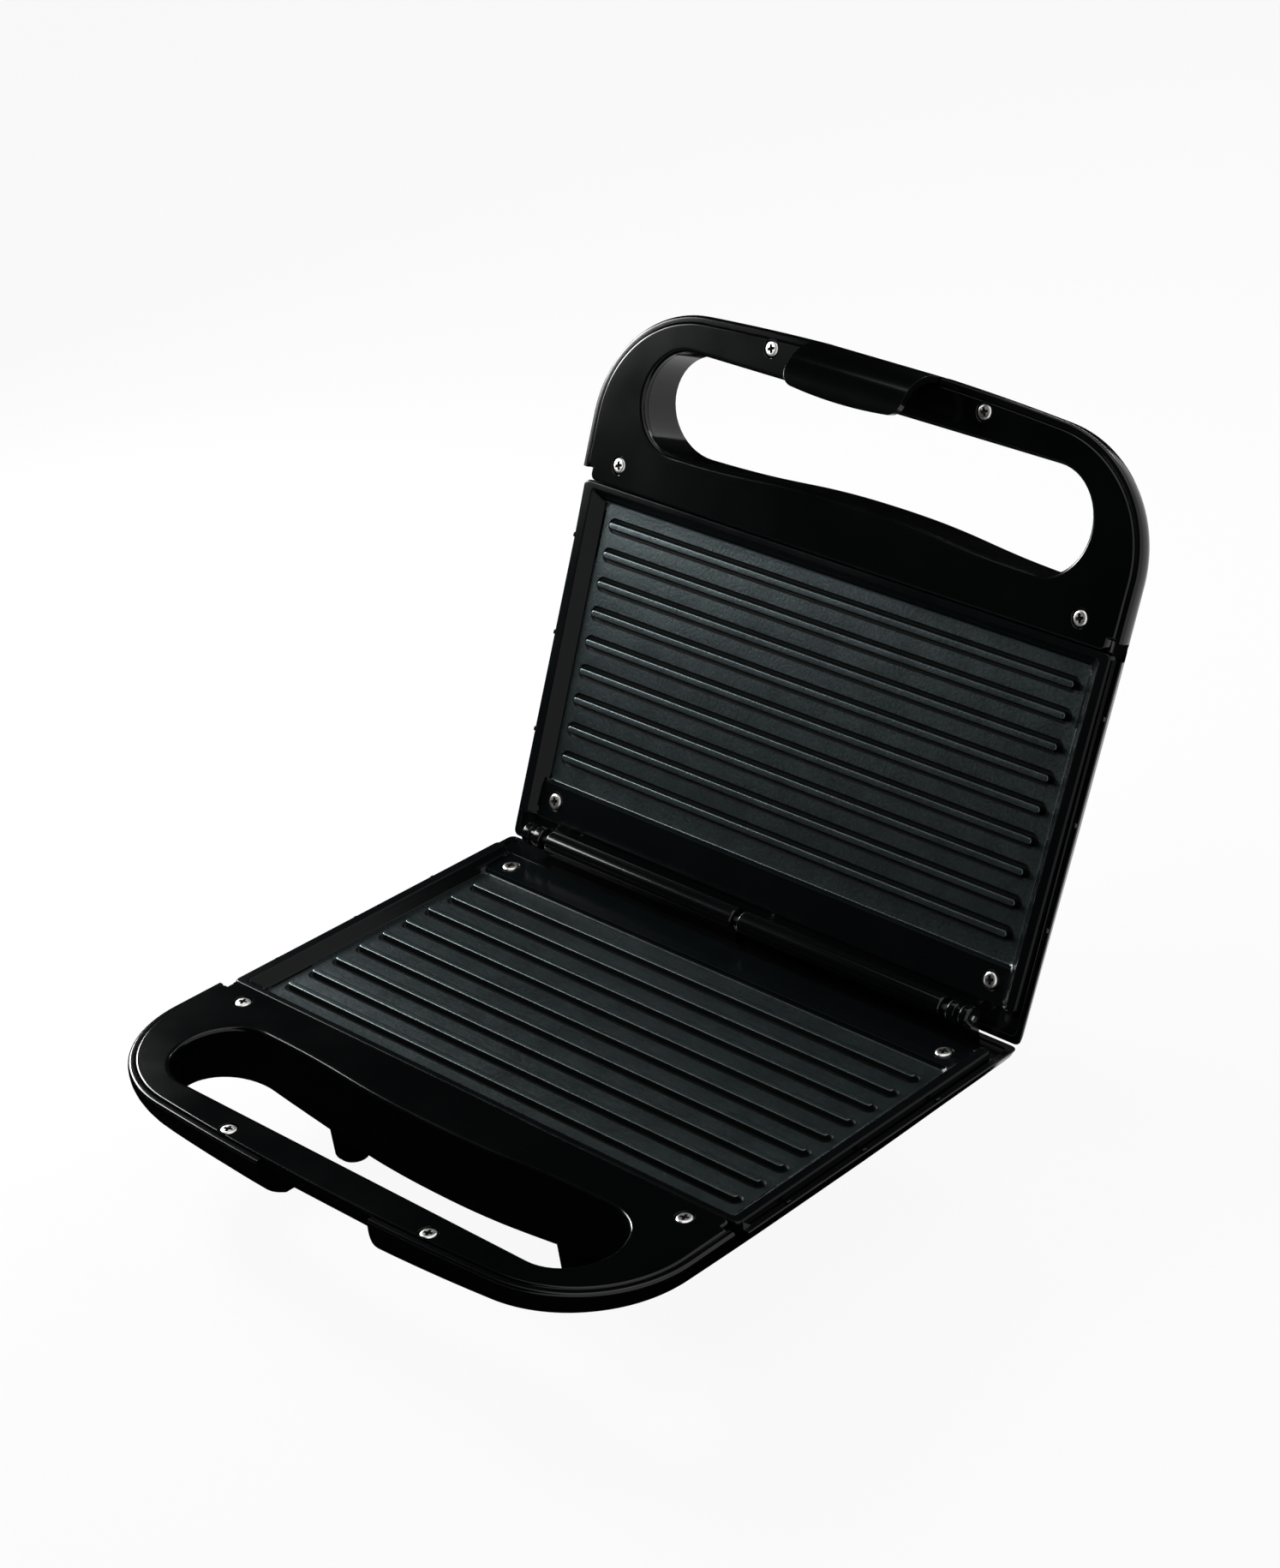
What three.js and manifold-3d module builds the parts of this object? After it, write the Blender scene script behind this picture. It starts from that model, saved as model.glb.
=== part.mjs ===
// Panini press: two domed halves with cast grill plates, hinged at the back and opened to the stop.
// Units are millimetres. The press stands on Z = 0, its handles point to -Y and X runs along the hinge.
//
// Both halves are the same moulding and are modelled in the same half frame: X along the hinge,
// Y from the hinge axis to the handle, Z towards the other half. The hinge axis is the frame's X axis.

import * as THREE from 'three';
import { mergeVertices } from 'three/addons/utils/BufferGeometryUtils.js';
import Module from 'manifold-3d';

const wasm = await Module();
wasm.setup();

// ---------------------------------------------------------------- driving dimensions

const OPEN_ANGLE = THREE.MathUtils.degToRad(115.1);
const FOOT_DROP = 50;              // hinge axis to the surface that the press stands on

const SEAT = 0.3;                  // gap between parts that touch
const WALL = 2.6;                  // moulded wall
const THROUGH = 5;                 // how far a cutting tool runs past a face

// housing
const HALF_WIDTH = 135;            // at the handle
const REAR_HALF_WIDTH = 131;       // at the hinge
const HANDLE_REACH = 215;          // hinge axis to the handle's front
const REAR_REACH = 5.2;            // hinge axis to the rear wall
const HANDLE_CORNER = 47;
const REAR_CORNER = 3;
const FRONT_BOW = 2.9;             // how far the handle's front bows out
const RIM_LEVEL = -5.2;            // rim around the handle cover
const LIP_LEVEL = -8.6;            // lip around the grill plate
const DOME_TOP = -7.8;
const DOME_DEPTH = 32.6;
const CROWN_SHARE = 0.3;           // flat part of the dome, as a share of the outline
const ROUNDNESS = 2.4;             // power of the ellipse that the dome tends to
const HANDLE_FULLNESS = 0.4;       // how much steeper the wall is at the handle's end

// handle cover and finger opening
const COVER_FACE = -4.6;
const COVER_THICK = 2.8;
const COVER_INSET = 2.9;           // from the housing's outline
const COVER_CORNER = 6;
const SIDE_WIDTH = 24.6;           // finger opening to the handle's sides
const CROSS_WIDTH = 18.5;          // finger opening to the cover's rear edge
const BAR_WIDTH = 17.7;            // finger opening to the handle's front
const OPENING_REACH = HALF_WIDTH - SIDE_WIDTH;
const OPENING_FAR = HANDLE_REACH - BAR_WIDTH;
const OPENING_BOW = 3.8;
const CROSS_WALL = 2.7;            // wall between the grill bay and the handle
const NOTCH_DEPTH = 6;
const NOTCH_HALF = 3.2;

// grill plate
const PLATE_FRONT = 138.7;
const PLATE_REAR = 5.3;
const PLATE_SIDE = 3.7;            // housing's side to the plate's, at the front
const PLATE_REAR_SIDE = 3.2;
const PLATE_FRONT_HALF = HALF_WIDTH - PLATE_SIDE;
const PLATE_REAR_HALF = REAR_HALF_WIDTH - PLATE_REAR_SIDE;
const COVER_REAR = PLATE_FRONT + SEAT;
const OPENING_NEAR = COVER_REAR + CROSS_WIDTH;
const PLATE_CORNER = 2.5;
const PLATE_RIM = -5.4;
const FLANGE_LEVEL = -8.3;
const GRILL_FLOOR = -10;
const PLATE_UNDER = -13.3;
const RIM_UNDER = -8.9;            // underside of the rim that rests on the ledge
const BODY_INSET = 5;              // rim's overhang around the plate's body
const RIM_TOP = 3.9;               // width of the plate's side rims
const FRONT_RIM_TOP = 2.4;         // width of its front rim
const RIM_SLOPE = 5;               // run of the slope from rim to floor
const FLANGE_DEPTH = 16.4;         // width of the hinge-side flange
const LEDGE = 4.2;                 // width of the ledge that carries the plate's rim
const LEDGE_THICK = 2.5;
const RIB_COUNT = 9;
const RIB_PITCH = 11.6;
const RIB_WIDTH = 3.5;
const RIB_HEIGHT = 2;
const RIB_CREST = 1.4;             // flat width along the rib's top
const RIB_END_GAP = 5.2;           // rib end to the foot of the rim's slope
const RIB_MARGIN = 9.2;            // last rib to the flange
const NUB_LENGTH = 5;
const NUB_WIDTH = 1.5;
const NUB_HEIGHT = 1.2;
const NUB_INSET = 1.1;             // housing's side to the middle of a nub
const NUB_COUNT = 3;
const NUB_PITCH = 39;

// hinge
const BARREL_RADIUS = 4.4;
const BARREL_LENGTH = 100.5;
const BARREL_GAP = 3;              // between the two long barrels, and before each knuckle
const KNUCKLE_LENGTH = 10;
const WEB_THICK = 4.4;
const PIN_RADIUS = 1.5;
const PIN_PLAY = 0.1;
const PIN_END = 0.8;               // how far the pin stands out of the last knuckle

// screws
const HEAD_RADIUS = 2.75;
const HEAD_HEIGHT = 1.5;
const COVER_HEAD = -4.5;           // tops of the screw heads in the handle cover
const PLATE_HEAD = -7.5;           // tops of the screw heads in the grill plate
const HEAD_PLAY = 0.9;
const SHANK_RADIUS = 1.4;
const COVER_SHANK = 10;
const PLATE_SHANK = 7.5;
const BORE_END = 0.4;              // bore beyond the screw's tip
const BORE_PLAY = 0.25;
const BOSS_RADIUS = 4;
const CROSS_HALF = 0.45;           // half-width of the driver's cross slot
const CROSS_REACH = 1.6;
const CROSS_DEPTH = 0.8;
const HINGE_SCREW_INSET = [15.5, 8.2];
const COVER_SCREW_INSET = [19.9, 8.5];
const BAR_SCREW_SPREAD = 52.5;
const BAR_SCREW_INSET = 7.7;
const HINGE_SCREW = [PLATE_REAR_HALF - HINGE_SCREW_INSET[0], PLATE_REAR + HINGE_SCREW_INSET[1]];
const COVER_SCREW = [HALF_WIDTH - COVER_SCREW_INSET[0], COVER_REAR + COVER_SCREW_INSET[1]];
const BAR_SCREW = [BAR_SCREW_SPREAD, HANDLE_REACH - BAR_SCREW_INSET];

// handle bar and latch: places are [Y, Z] in the side view of a half
const BAR_ROUND = 16.1;
const BAR_LEVEL = -5.8;            // middle of the bar's rounded outer edge
const BAR_CENTRE = [HANDLE_REACH - BAR_ROUND, BAR_LEVEL];
const BAR_DEPTH = 18.2;            // underside of the bar below that middle
const BAR_BOTTOM = BAR_LEVEL - BAR_DEPTH;
const SHUT_TILT = THREE.MathUtils.degToRad(2.34);
const LATCH_HALF = 28.7;
const LATCH_THICK = 2.7;
const LATCH_PLAY = 0.5;
const LATCH_GRIP = 18.4;           // how far the hook's lip reaches back over the bar
const LATCH_TIP = HANDLE_REACH - LATCH_GRIP;
const LATCH_TIP_BOW = 2.2;
const LATCH_CORNER = 4;
const LATCH_FOOT = THREE.MathUtils.degToRad(32);
const LATCH_PIVOT_INSET = 8.5;
const LATCH_PIVOT_LEVEL = -12.5;
const LATCH_PIVOT = [HANDLE_REACH - LATCH_PIVOT_INSET, LATCH_PIVOT_LEVEL];
const HUB_RADIUS = 3.4;
const EAR_SPREAD = 20;             // middle of the latch to the middle of each ear
const EAR_WIDTH = 7;
const EAR_HALF_HEIGHT = 2.3;
const EAR_PLAY = 0.4;
const LATCH_PIN_RADIUS = 1;
const LATCH_PIN_HALF = 28;

// heating
const HEATER_RADIUS = 3.25;
const HEATER_BEND = 18;
const HEATER_GAP = 14;             // half the distance between the element's cold ends
const HEATER_TAIL = 22;            // rear end of the element's cold ends
const TRAY_SIDE = 33.3;            // plate's edges to the tray's
const TRAY_REAR_GAP = 26.7;
const TRAY_FRONT_GAP = 10.7;
const TRAY_HALF = PLATE_FRONT_HALF - TRAY_SIDE;
const TRAY_REAR = PLATE_REAR + TRAY_REAR_GAP;
const TRAY_FRONT = PLATE_FRONT - TRAY_FRONT_GAP;
const HEATER_SIDE = 14;            // tray's edges to the element's middle line
const HEATER_REAR_GAP = 12;
const HEATER_FRONT_GAP = 16;
const HEATER_HALF = TRAY_HALF - HEATER_SIDE;
const HEATER_REAR = TRAY_REAR + HEATER_REAR_GAP;
const HEATER_FRONT = TRAY_FRONT - HEATER_FRONT_GAP;
const TRAY_CORNER = 14;
const TRAY_SHEET = 0.8;
const TRAY_DEPTH = 8.2;
const TRAY_PORT = 2;               // room around the element where it leaves the tray

// electrical parts
const THERMOSTAT_RADIUS = 9;
const THERMOSTAT_HEIGHT = 6;
const CUTOUT_REACH = 78;           // thermostat and fuse: distance from the hinge axis
const FUSE_RADIUS = 2.2;
const FUSE_LENGTH = 18;
const LAMP_SPREAD = 12;
const LAMP_SETBACK = 13.7;          // plate's front edge to the lamps
const LAMP_REACH = PLATE_FRONT - LAMP_SETBACK;
const LENS_RADIUS = 3.5;
const LENS_PROUD = 0.9;
const LENS_FLANGE = 4.6;
const LENS_FLANGE_THICK = 1;
const LAMP_RADIUS = 3;
const LAMP_LENGTH = 8;
const TERMINAL_SIZE = [24, 14, 7.5];
const TERMINAL_REACH = 48;
const TERMINAL_LEVEL = -31.2;      // top of the pedestal under the terminal block
const GLAND_LEVEL = -27;
const GLAND_FACE = 3;              // flat face that the gland's flange rests on
const GLAND_RADIUS = 5.2;
const GLAND_BORE = 3.4;
const GLAND_FLANGE = 7;
const GLAND_FLANGE_THICK = 2;
const GLAND_LENGTH = 16;
const GLAND_BOSS = 8.2;

// feet
const FOOT_SPREAD = 60;            // middle of the press to a front foot
const FOOT_SETBACK = 9.5;          // finger opening to a front foot
const FOOT_FRONT = [FOOT_SPREAD, OPENING_NEAR - FOOT_SETBACK];
const FOOT_REAR = [75, 14];
const POST_TOP = -8;
const POST_TOP_RADIUS = 9.5;
const POST_RADIUS = 7;
const PAD_RADIUS = 5.6;
const PAD_HEIGHT = 3;
const PAD_PROUD = 1.5;

// mesh resolution
const CURVE_STEPS = 4;
const ROUND_STEPS = 16;
const DOME_RINGS = 8;
const LONGEST_RUN = 28;

// ---------------------------------------------------------------- materials

const finish = (color, roughness, metalness) =>
  new THREE.MeshStandardMaterial({ color, roughness, metalness });

const GLOSS_BLACK = finish(0x101113, 0.16, 0);
const NON_STICK = finish(0x4a5356, 0.42, 0.6);
const NICKEL = finish(0xc9c9c6, 0.22, 1);
const STEEL = finish(0x9a9c9e, 0.32, 1);
const HEATER_STEEL = finish(0x5d5a55, 0.5, 1);
const REFLECTOR = finish(0xb9bcbe, 0.28, 1);
const RUBBER = finish(0x151515, 0.85, 0);
const CERAMIC = finish(0xe6e0d3, 0.6, 0);
const PHENOLIC = finish(0x2a2018, 0.55, 0);
const RED_LENS = finish(0xb01212, 0.12, 0);
const GREEN_LENS = finish(0x1c8a34, 0.12, 0);
const LAMP_GLASS = finish(0xd8d2c4, 0.1, 0);

// ---------------------------------------------------------------- solids and booleans

function solid(geometry) {
  const bare = geometry.index ? geometry.toNonIndexed() : geometry.clone();
  bare.deleteAttribute('normal');
  bare.deleteAttribute('uv');
  const welded = mergeVertices(bare, 1e-4);
  return new wasm.Manifold(new wasm.Mesh({
    numProp: 3,
    vertProperties: new Float32Array(welded.attributes.position.array),
    triVerts: new Uint32Array(welded.index.array),
  }));
}

function geometryOf(body) {
  const { vertProperties, triVerts } = body.getMesh();
  const geometry = new THREE.BufferGeometry();
  geometry.setAttribute('position', new THREE.BufferAttribute(new Float32Array(vertProperties), 3));
  geometry.setIndex(new THREE.BufferAttribute(new Uint32Array(triVerts), 1));
  geometry.computeVertexNormals();
  return geometry;
}

const join = (first, ...others) => others.reduce((sum, other) => sum.add(other), first);
const cut = (first, ...others) => others.reduce((rest, other) => rest.subtract(other), first);

function part(name, body, material) {
  const mesh = new THREE.Mesh(geometryOf(body), material);
  mesh.name = name;
  return mesh;
}

function block(x0, x1, y0, y1, z0, z1) {
  const box = new THREE.BoxGeometry(x1 - x0, y1 - y0, z1 - z0);
  return solid(box.translate((x0 + x1) / 2, (y0 + y1) / 2, (z0 + z1) / 2));
}

function prism(shape, z0, z1, curveSegments = CURVE_STEPS) {
  const options = { depth: z1 - z0, bevelEnabled: false, curveSegments };
  return solid(new THREE.ExtrudeGeometry(shape, options).translate(0, 0, z0));
}

// upright cylinder or cone between two levels
function post(x, y, z0, z1, radius, topRadius = radius, steps = ROUND_STEPS) {
  const cone = new THREE.CylinderGeometry(topRadius, radius, z1 - z0, steps);
  return solid(cone.rotateX(Math.PI / 2).translate(x, y, (z0 + z1) / 2));
}

// cylinder along X between two stations
function rod(x0, x1, y, z, radius, steps = ROUND_STEPS) {
  const cylinder = new THREE.CylinderGeometry(radius, radius, x1 - x0, steps);
  return solid(cylinder.rotateZ(Math.PI / 2).translate((x0 + x1) / 2, y, z));
}

// side view (Y, Z) pushed out along X
function sideProfile(shape, x0, x1, curveSegments = CURVE_STEPS) {
  const options = { depth: x1 - x0, bevelEnabled: false, curveSegments };
  const body = new THREE.ExtrudeGeometry(shape, options);
  const turn = new THREE.Matrix4().makeBasis(
    new THREE.Vector3(0, 1, 0), new THREE.Vector3(0, 0, 1), new THREE.Vector3(1, 0, 0));
  return solid(body.applyMatrix4(turn).translate(x0, 0, 0));
}

const mirrored = (make) => [make(1), make(-1)];

// ---------------------------------------------------------------- outlines in the half frame

// housing outline, moved inwards by inset
function housingOutline(inset = 0) {
  const side = HALF_WIDTH - inset;
  const rearSide = REAR_HALF_WIDTH - inset;
  const front = HANDLE_REACH - inset;
  const rear = inset - REAR_REACH;
  const corner = HANDLE_CORNER - inset;
  const shoulder = front - FRONT_BOW - corner;
  const bowEnd = side - corner;
  const bowSlope = 2 * FRONT_BOW / bowEnd;
  const pull = corner * 0.5523;
  const shape = new THREE.Shape();
  shape.moveTo(-rearSide + REAR_CORNER, rear);
  shape.lineTo(rearSide - REAR_CORNER, rear);
  shape.quadraticCurveTo(rearSide, rear, rearSide, rear + REAR_CORNER);
  shape.lineTo(side, shoulder);
  shape.bezierCurveTo(side, shoulder + pull, bowEnd + pull, front - FRONT_BOW - bowSlope * pull,
    bowEnd, front - FRONT_BOW);
  shape.quadraticCurveTo(bowEnd / 2, front, 0, front);
  shape.quadraticCurveTo(-bowEnd / 2, front, -bowEnd, front - FRONT_BOW);
  shape.bezierCurveTo(-bowEnd - pull, front - FRONT_BOW - bowSlope * pull, -side, shoulder + pull,
    -side, shoulder);
  shape.lineTo(-rearSide, rear + REAR_CORNER);
  shape.quadraticCurveTo(-rearSide, rear, -rearSide + REAR_CORNER, rear);
  return shape;
}

// finger opening, moved outwards by grow
function openingOutline(grow = 0) {
  const radius = (OPENING_FAR - OPENING_NEAR) / 2 + grow;
  const middle = (OPENING_FAR + OPENING_NEAR) / 2;
  const endX = OPENING_REACH + grow - radius;
  const near = middle - radius;
  const shape = new THREE.Shape();
  shape.moveTo(-endX, near);
  shape.bezierCurveTo(-endX / 2, near, -endX / 2, near + OPENING_BOW, 0, near + OPENING_BOW);
  shape.bezierCurveTo(endX / 2, near + OPENING_BOW, endX / 2, near, endX, near);
  shape.absarc(endX, middle, radius, -Math.PI / 2, Math.PI / 2, false);
  shape.lineTo(-endX, middle + radius);
  shape.absarc(-endX, middle, radius, Math.PI / 2, 3 * Math.PI / 2, false);
  return shape;
}

// grill plate outline, moved inwards by inset
function plateOutline(inset = 0, front = PLATE_FRONT - inset, rear = PLATE_REAR + inset) {
  const taper = (PLATE_FRONT_HALF - PLATE_REAR_HALF) / (PLATE_FRONT - PLATE_REAR);
  const halfAt = (y) => PLATE_REAR_HALF + taper * (y - PLATE_REAR) - inset;
  const corner = Math.max(PLATE_CORNER - inset, 2);
  const shape = new THREE.Shape();
  shape.moveTo(-halfAt(rear) + corner, rear);
  shape.lineTo(halfAt(rear) - corner, rear);
  shape.quadraticCurveTo(halfAt(rear), rear, halfAt(rear), rear + corner);
  shape.lineTo(halfAt(front), front - corner);
  shape.quadraticCurveTo(halfAt(front), front, halfAt(front) - corner, front);
  shape.lineTo(-halfAt(front) + corner, front);
  shape.quadraticCurveTo(-halfAt(front), front, -halfAt(front), front - corner);
  shape.lineTo(-halfAt(rear), rear + corner);
  shape.quadraticCurveTo(-halfAt(rear), rear, -halfAt(rear) + corner, rear);
  return shape;
}

function roundedRectangle(x0, x1, y0, y1, corner) {
  const shape = new THREE.Shape();
  shape.moveTo(x0 + corner, y0);
  shape.lineTo(x1 - corner, y0);
  shape.quadraticCurveTo(x1, y0, x1, y0 + corner);
  shape.lineTo(x1, y1 - corner);
  shape.quadraticCurveTo(x1, y1, x1 - corner, y1);
  shape.lineTo(x0 + corner, y1);
  shape.quadraticCurveTo(x0, y1, x0, y1 - corner);
  shape.lineTo(x0, y0 + corner);
  shape.quadraticCurveTo(x0, y0, x0 + corner, y0);
  return shape;
}

// the same outline with its long straight runs split, so that it can be bent
function splitOutline(shape) {
  const corners = shape.getPoints(CURVE_STEPS);
  const points = [];
  for (let i = 0; i < corners.length - 1; i += 1) {
    const from = corners[i];
    const to = corners[i + 1];
    const pieces = Math.ceil(from.distanceTo(to) / LONGEST_RUN);
    for (let k = 0; k < pieces; k += 1) {
      points.push(from.clone().lerp(to, k / pieces));
    }
  }
  return new THREE.Shape(points);
}

// Dome under an outline: each ring shrinks towards the middle as a quarter ellipse,
// and its corners draw in until the crown is nearly an ellipse.
const DOME_MIDDLE = (HANDLE_REACH - REAR_REACH) / 2;
const CROWN_ANGLE = Math.acos(CROWN_SHARE);

function domeShare(x, y, angle, inset) {
  const across = Math.abs(x) / (HALF_WIDTH - inset);
  const along = Math.abs(y - DOME_MIDDLE) / (HANDLE_REACH - DOME_MIDDLE - inset);
  const corner = Math.max(1, (across ** ROUNDNESS + along ** ROUNDNESS) ** (1 / ROUNDNESS));
  return Math.cos(angle) * (1 + (1 / corner - 1) * Math.sin(angle) ** 2);
}

// growth of a ring towards the handle, most a third of the way down
const handleGrowth = (angle) => 1 + HANDLE_FULLNESS * Math.sin(angle) ** 2 * Math.cos(angle) ** 4;

function dome(inset) {
  const options = { depth: 1, steps: DOME_RINGS, bevelEnabled: false };
  const geometry = new THREE.ExtrudeGeometry(splitOutline(housingOutline(inset)), options);
  const place = geometry.attributes.position;
  for (let i = 0; i < place.count; i += 1) {
    const angle = (1 - place.getZ(i)) * CROWN_ANGLE;
    const share = domeShare(place.getX(i), place.getY(i), angle, inset);
    const growth = place.getY(i) > DOME_MIDDLE ? handleGrowth(angle) : 1;
    place.setX(i, place.getX(i) * share);
    place.setY(i, DOME_MIDDLE + (place.getY(i) - DOME_MIDDLE) * share * growth);
    place.setZ(i, DOME_TOP - (DOME_DEPTH - inset) * Math.sin(angle));
  }
  return solid(geometry);
}

const CROWN_LEVEL = DOME_TOP - DOME_DEPTH * Math.sin(CROWN_ANGLE);
const INNER_CROWN = DOME_TOP - (DOME_DEPTH - WALL) * Math.sin(CROWN_ANGLE);

// ---------------------------------------------------------------- housing

const COVER_UNDER = COVER_FACE - COVER_THICK;
const COVER_SEAT = COVER_UNDER - SEAT;
const PLATE_SEAT = PLATE_UNDER - SEAT;
const BEYOND = HANDLE_REACH + THROUGH;
const BELOW = -FOOT_DROP - THROUGH;

const KNUCKLE_NEAR = BARREL_GAP / 2 + BARREL_LENGTH + BARREL_GAP;
const KNUCKLE_FAR = KNUCKLE_NEAR + KNUCKLE_LENGTH;

// half-width of the housing's outline at a distance from the hinge axis
function sideAt(y) {
  const span = HANDLE_REACH - FRONT_BOW - HANDLE_CORNER + REAR_REACH - REAR_CORNER;
  return REAR_HALF_WIDTH + (HALF_WIDTH - REAR_HALF_WIDTH) * (y + REAR_REACH - REAR_CORNER) / span;
}

const screwPlaces = [
  ...mirrored((side) => [side * BAR_SCREW[0], BAR_SCREW[1], COVER_HEAD, COVER_SHANK]),
  ...mirrored((side) => [side * COVER_SCREW[0], COVER_SCREW[1], COVER_HEAD, COVER_SHANK]),
  ...mirrored((side) => [side * HINGE_SCREW[0], HINGE_SCREW[1], PLATE_HEAD, PLATE_SHANK]),
];

// the features that stand inside the moulded shell
function innerFeatures() {
  const ledgeTop = RIM_UNDER - SEAT;
  const ledgeBottom = ledgeTop - LEDGE_THICK;
  const ledgeOuter = block(-HALF_WIDTH, HALF_WIDTH, -REAR_REACH, COVER_REAR, ledgeBottom, ledgeTop);
  const ledge = cut(ledgeOuter, prism(plateOutline(LEDGE), ledgeBottom - 1, ledgeTop + 1));
  const crossWall = block(-HALF_WIDTH, HALF_WIDTH, COVER_REAR, COVER_REAR + CROSS_WALL, BELOW,
    COVER_SEAT);
  const openingWall = prism(openingOutline(WALL), BELOW, COVER_SEAT);
  const pillars = mirrored((side) => post(side * (HALF_WIDTH - NOTCH_DEPTH),
    COVER_REAR + NOTCH_DEPTH + SEAT, BELOW, COVER_SEAT, NOTCH_DEPTH));
  const bosses = screwPlaces.map(([x, y, head]) =>
    post(x, y, BELOW, head === COVER_HEAD ? COVER_SEAT : PLATE_SEAT, BOSS_RADIUS));
  return join(ledge, crossWall, openingWall, ...pillars, ...bosses);
}

// recess for the latch around the bar's outer edge, deepened by grow
function latchRecess(grow = 0) {
  const [y, z] = BAR_CENTRE;
  const radius = BAR_ROUND - LATCH_THICK - LATCH_PLAY - grow;
  const shape = new THREE.Shape();
  shape.moveTo(OPENING_FAR - THROUGH - grow, BELOW);
  shape.lineTo(OPENING_FAR - THROUGH - grow, z - radius);
  shape.lineTo(y, z - radius);
  shape.absarc(y, z, radius, -Math.PI / 2, 0, false);
  shape.lineTo(y + radius, 0);
  shape.lineTo(BEYOND, 0);
  shape.lineTo(BEYOND, BELOW);
  const half = LATCH_HALF + LATCH_PLAY + grow;
  return sideProfile(shape, -half, half);
}

function barrelOn(x0, x1) {
  const reach = BARREL_RADIUS * 3;
  const web = block(x0, x1, -WALL, WEB_THICK - WALL, -reach, -PIN_RADIUS);
  return join(rod(x0, x1, 0, 0, BARREL_RADIUS), web);
}

function screwBores() {
  const bores = screwPlaces.map(([x, y, head, shank]) =>
    post(x, y, head - HEAD_HEIGHT - shank - BORE_END, head, SHANK_RADIUS + BORE_PLAY));
  return join(...bores);
}

function headRecesses(places) {
  const recesses = places.map(([x, y, head]) =>
    post(x, y, head - HEAD_HEIGHT - SEAT, 0, HEAD_RADIUS + HEAD_PLAY));
  return join(...recesses);
}

function notches() {
  const [right, left] = mirrored((side) => {
    const inner = side * (HALF_WIDTH - NOTCH_DEPTH);
    const outer = side * (HALF_WIDTH + THROUGH);
    return block(Math.min(inner, outer), Math.max(inner, outer), COVER_REAR + 1 - NOTCH_HALF,
      COVER_REAR + 1 + NOTCH_HALF, PLATE_UNDER, 0);
  });
  return join(right, left);
}

function nubs() {
  const middle = (PLATE_FRONT + PLATE_REAR) / 2 + NUB_LENGTH;
  const all = [];
  for (let i = 0; i < NUB_COUNT; i += 1) {
    const y = middle + (i - (NUB_COUNT - 1) / 2) * NUB_PITCH;
    const x = sideAt(y) - NUB_INSET;
    mirrored((side) => all.push(block(side * x - NUB_WIDTH / 2, side * x + NUB_WIDTH / 2,
      y - NUB_LENGTH / 2, y + NUB_LENGTH / 2, LIP_LEVEL - SEAT, LIP_LEVEL + NUB_HEIGHT)));
  }
  return all;
}

// moulded half: extras are joined to the outside, kept is left standing inside
function housing(extras, kept, removed) {
  const outer = join(prism(housingOutline(), DOME_TOP, RIM_LEVEL), dome(0), ...extras);
  const inner = join(prism(housingOutline(WALL), DOME_TOP, 0), dome(WALL));
  const underCover = block(-BEYOND, BEYOND, -BEYOND, BEYOND, BELOW, COVER_SEAT);
  const latchWall = latchRecess(WALL).intersect(underCover);
  const hollow = cut(inner, innerFeatures(), latchWall, ...kept);
  const trimBar = block(-HALF_WIDTH, HALF_WIDTH, OPENING_FAR - THROUGH, BEYOND, BELOW, BAR_BOTTOM);
  const trimLip = block(-BEYOND, BEYOND, -REAR_REACH - THROUGH, COVER_REAR, LIP_LEVEL, 0);
  const shell = cut(outer, hollow, trimBar, trimLip, prism(openingOutline(), BELOW, 0),
    notches(), latchRecess(), screwBores());
  const hinged = join(shell, barrelOn(BARREL_GAP / 2, BARREL_GAP / 2 + BARREL_LENGTH),
    barrelOn(-KNUCKLE_FAR, -KNUCKLE_NEAR), ...nubs());
  const pinBore = rod(-BEYOND, BEYOND, 0, 0, PIN_RADIUS + PIN_PLAY);
  return cut(hinged, pinBore, ...removed);
}

const footPlaces = [
  ...mirrored((side) => [side * FOOT_FRONT[0], FOOT_FRONT[1]]),
  ...mirrored((side) => [side * FOOT_REAR[0], FOOT_REAR[1]]),
];

// cylinder along Y between two stations
function spigot(x, z, y0, y1, radius) {
  const cylinder = new THREE.CylinderGeometry(radius, radius, y1 - y0, ROUND_STEPS);
  return solid(cylinder.translate(x, (y0 + y1) / 2, z));
}

function baseHousing() {
  const postBottom = PAD_PROUD - FOOT_DROP;
  const posts = footPlaces.map(([x, y]) =>
    post(x, y, postBottom, POST_TOP, POST_RADIUS, POST_TOP_RADIUS));
  const padSeats = footPlaces.map(([x, y]) =>
    post(x, y, postBottom - 1, PAD_HEIGHT + SEAT - FOOT_DROP, PAD_RADIUS + SEAT));
  const glandBoss = spigot(0, GLAND_LEVEL, GLAND_FACE, GLAND_LENGTH, GLAND_BOSS);
  const glandHole = spigot(0, GLAND_LEVEL, GLAND_FACE - 1, GLAND_LENGTH + THROUGH, GLAND_RADIUS + SEAT);
  const [long, wide] = TERMINAL_SIZE;
  const pedestal = block(-long / 2, long / 2, TERMINAL_REACH - wide / 2, TERMINAL_REACH + wide / 2,
    BELOW, TERMINAL_LEVEL);
  return housing([...posts, glandBoss], [glandBoss, pedestal], [...padSeats, glandHole]);
}

const earPlaces = mirrored((side) => side * EAR_SPREAD);

function latchPocket(x) {
  const [y, z] = LATCH_PIVOT;
  const half = EAR_WIDTH / 2 + EAR_PLAY;
  const radius = HUB_RADIUS + EAR_PLAY;
  return join(rod(x - half, x + half, y, z, radius),
    block(x - half, x + half, y, BEYOND, BELOW, z + radius));
}

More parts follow.
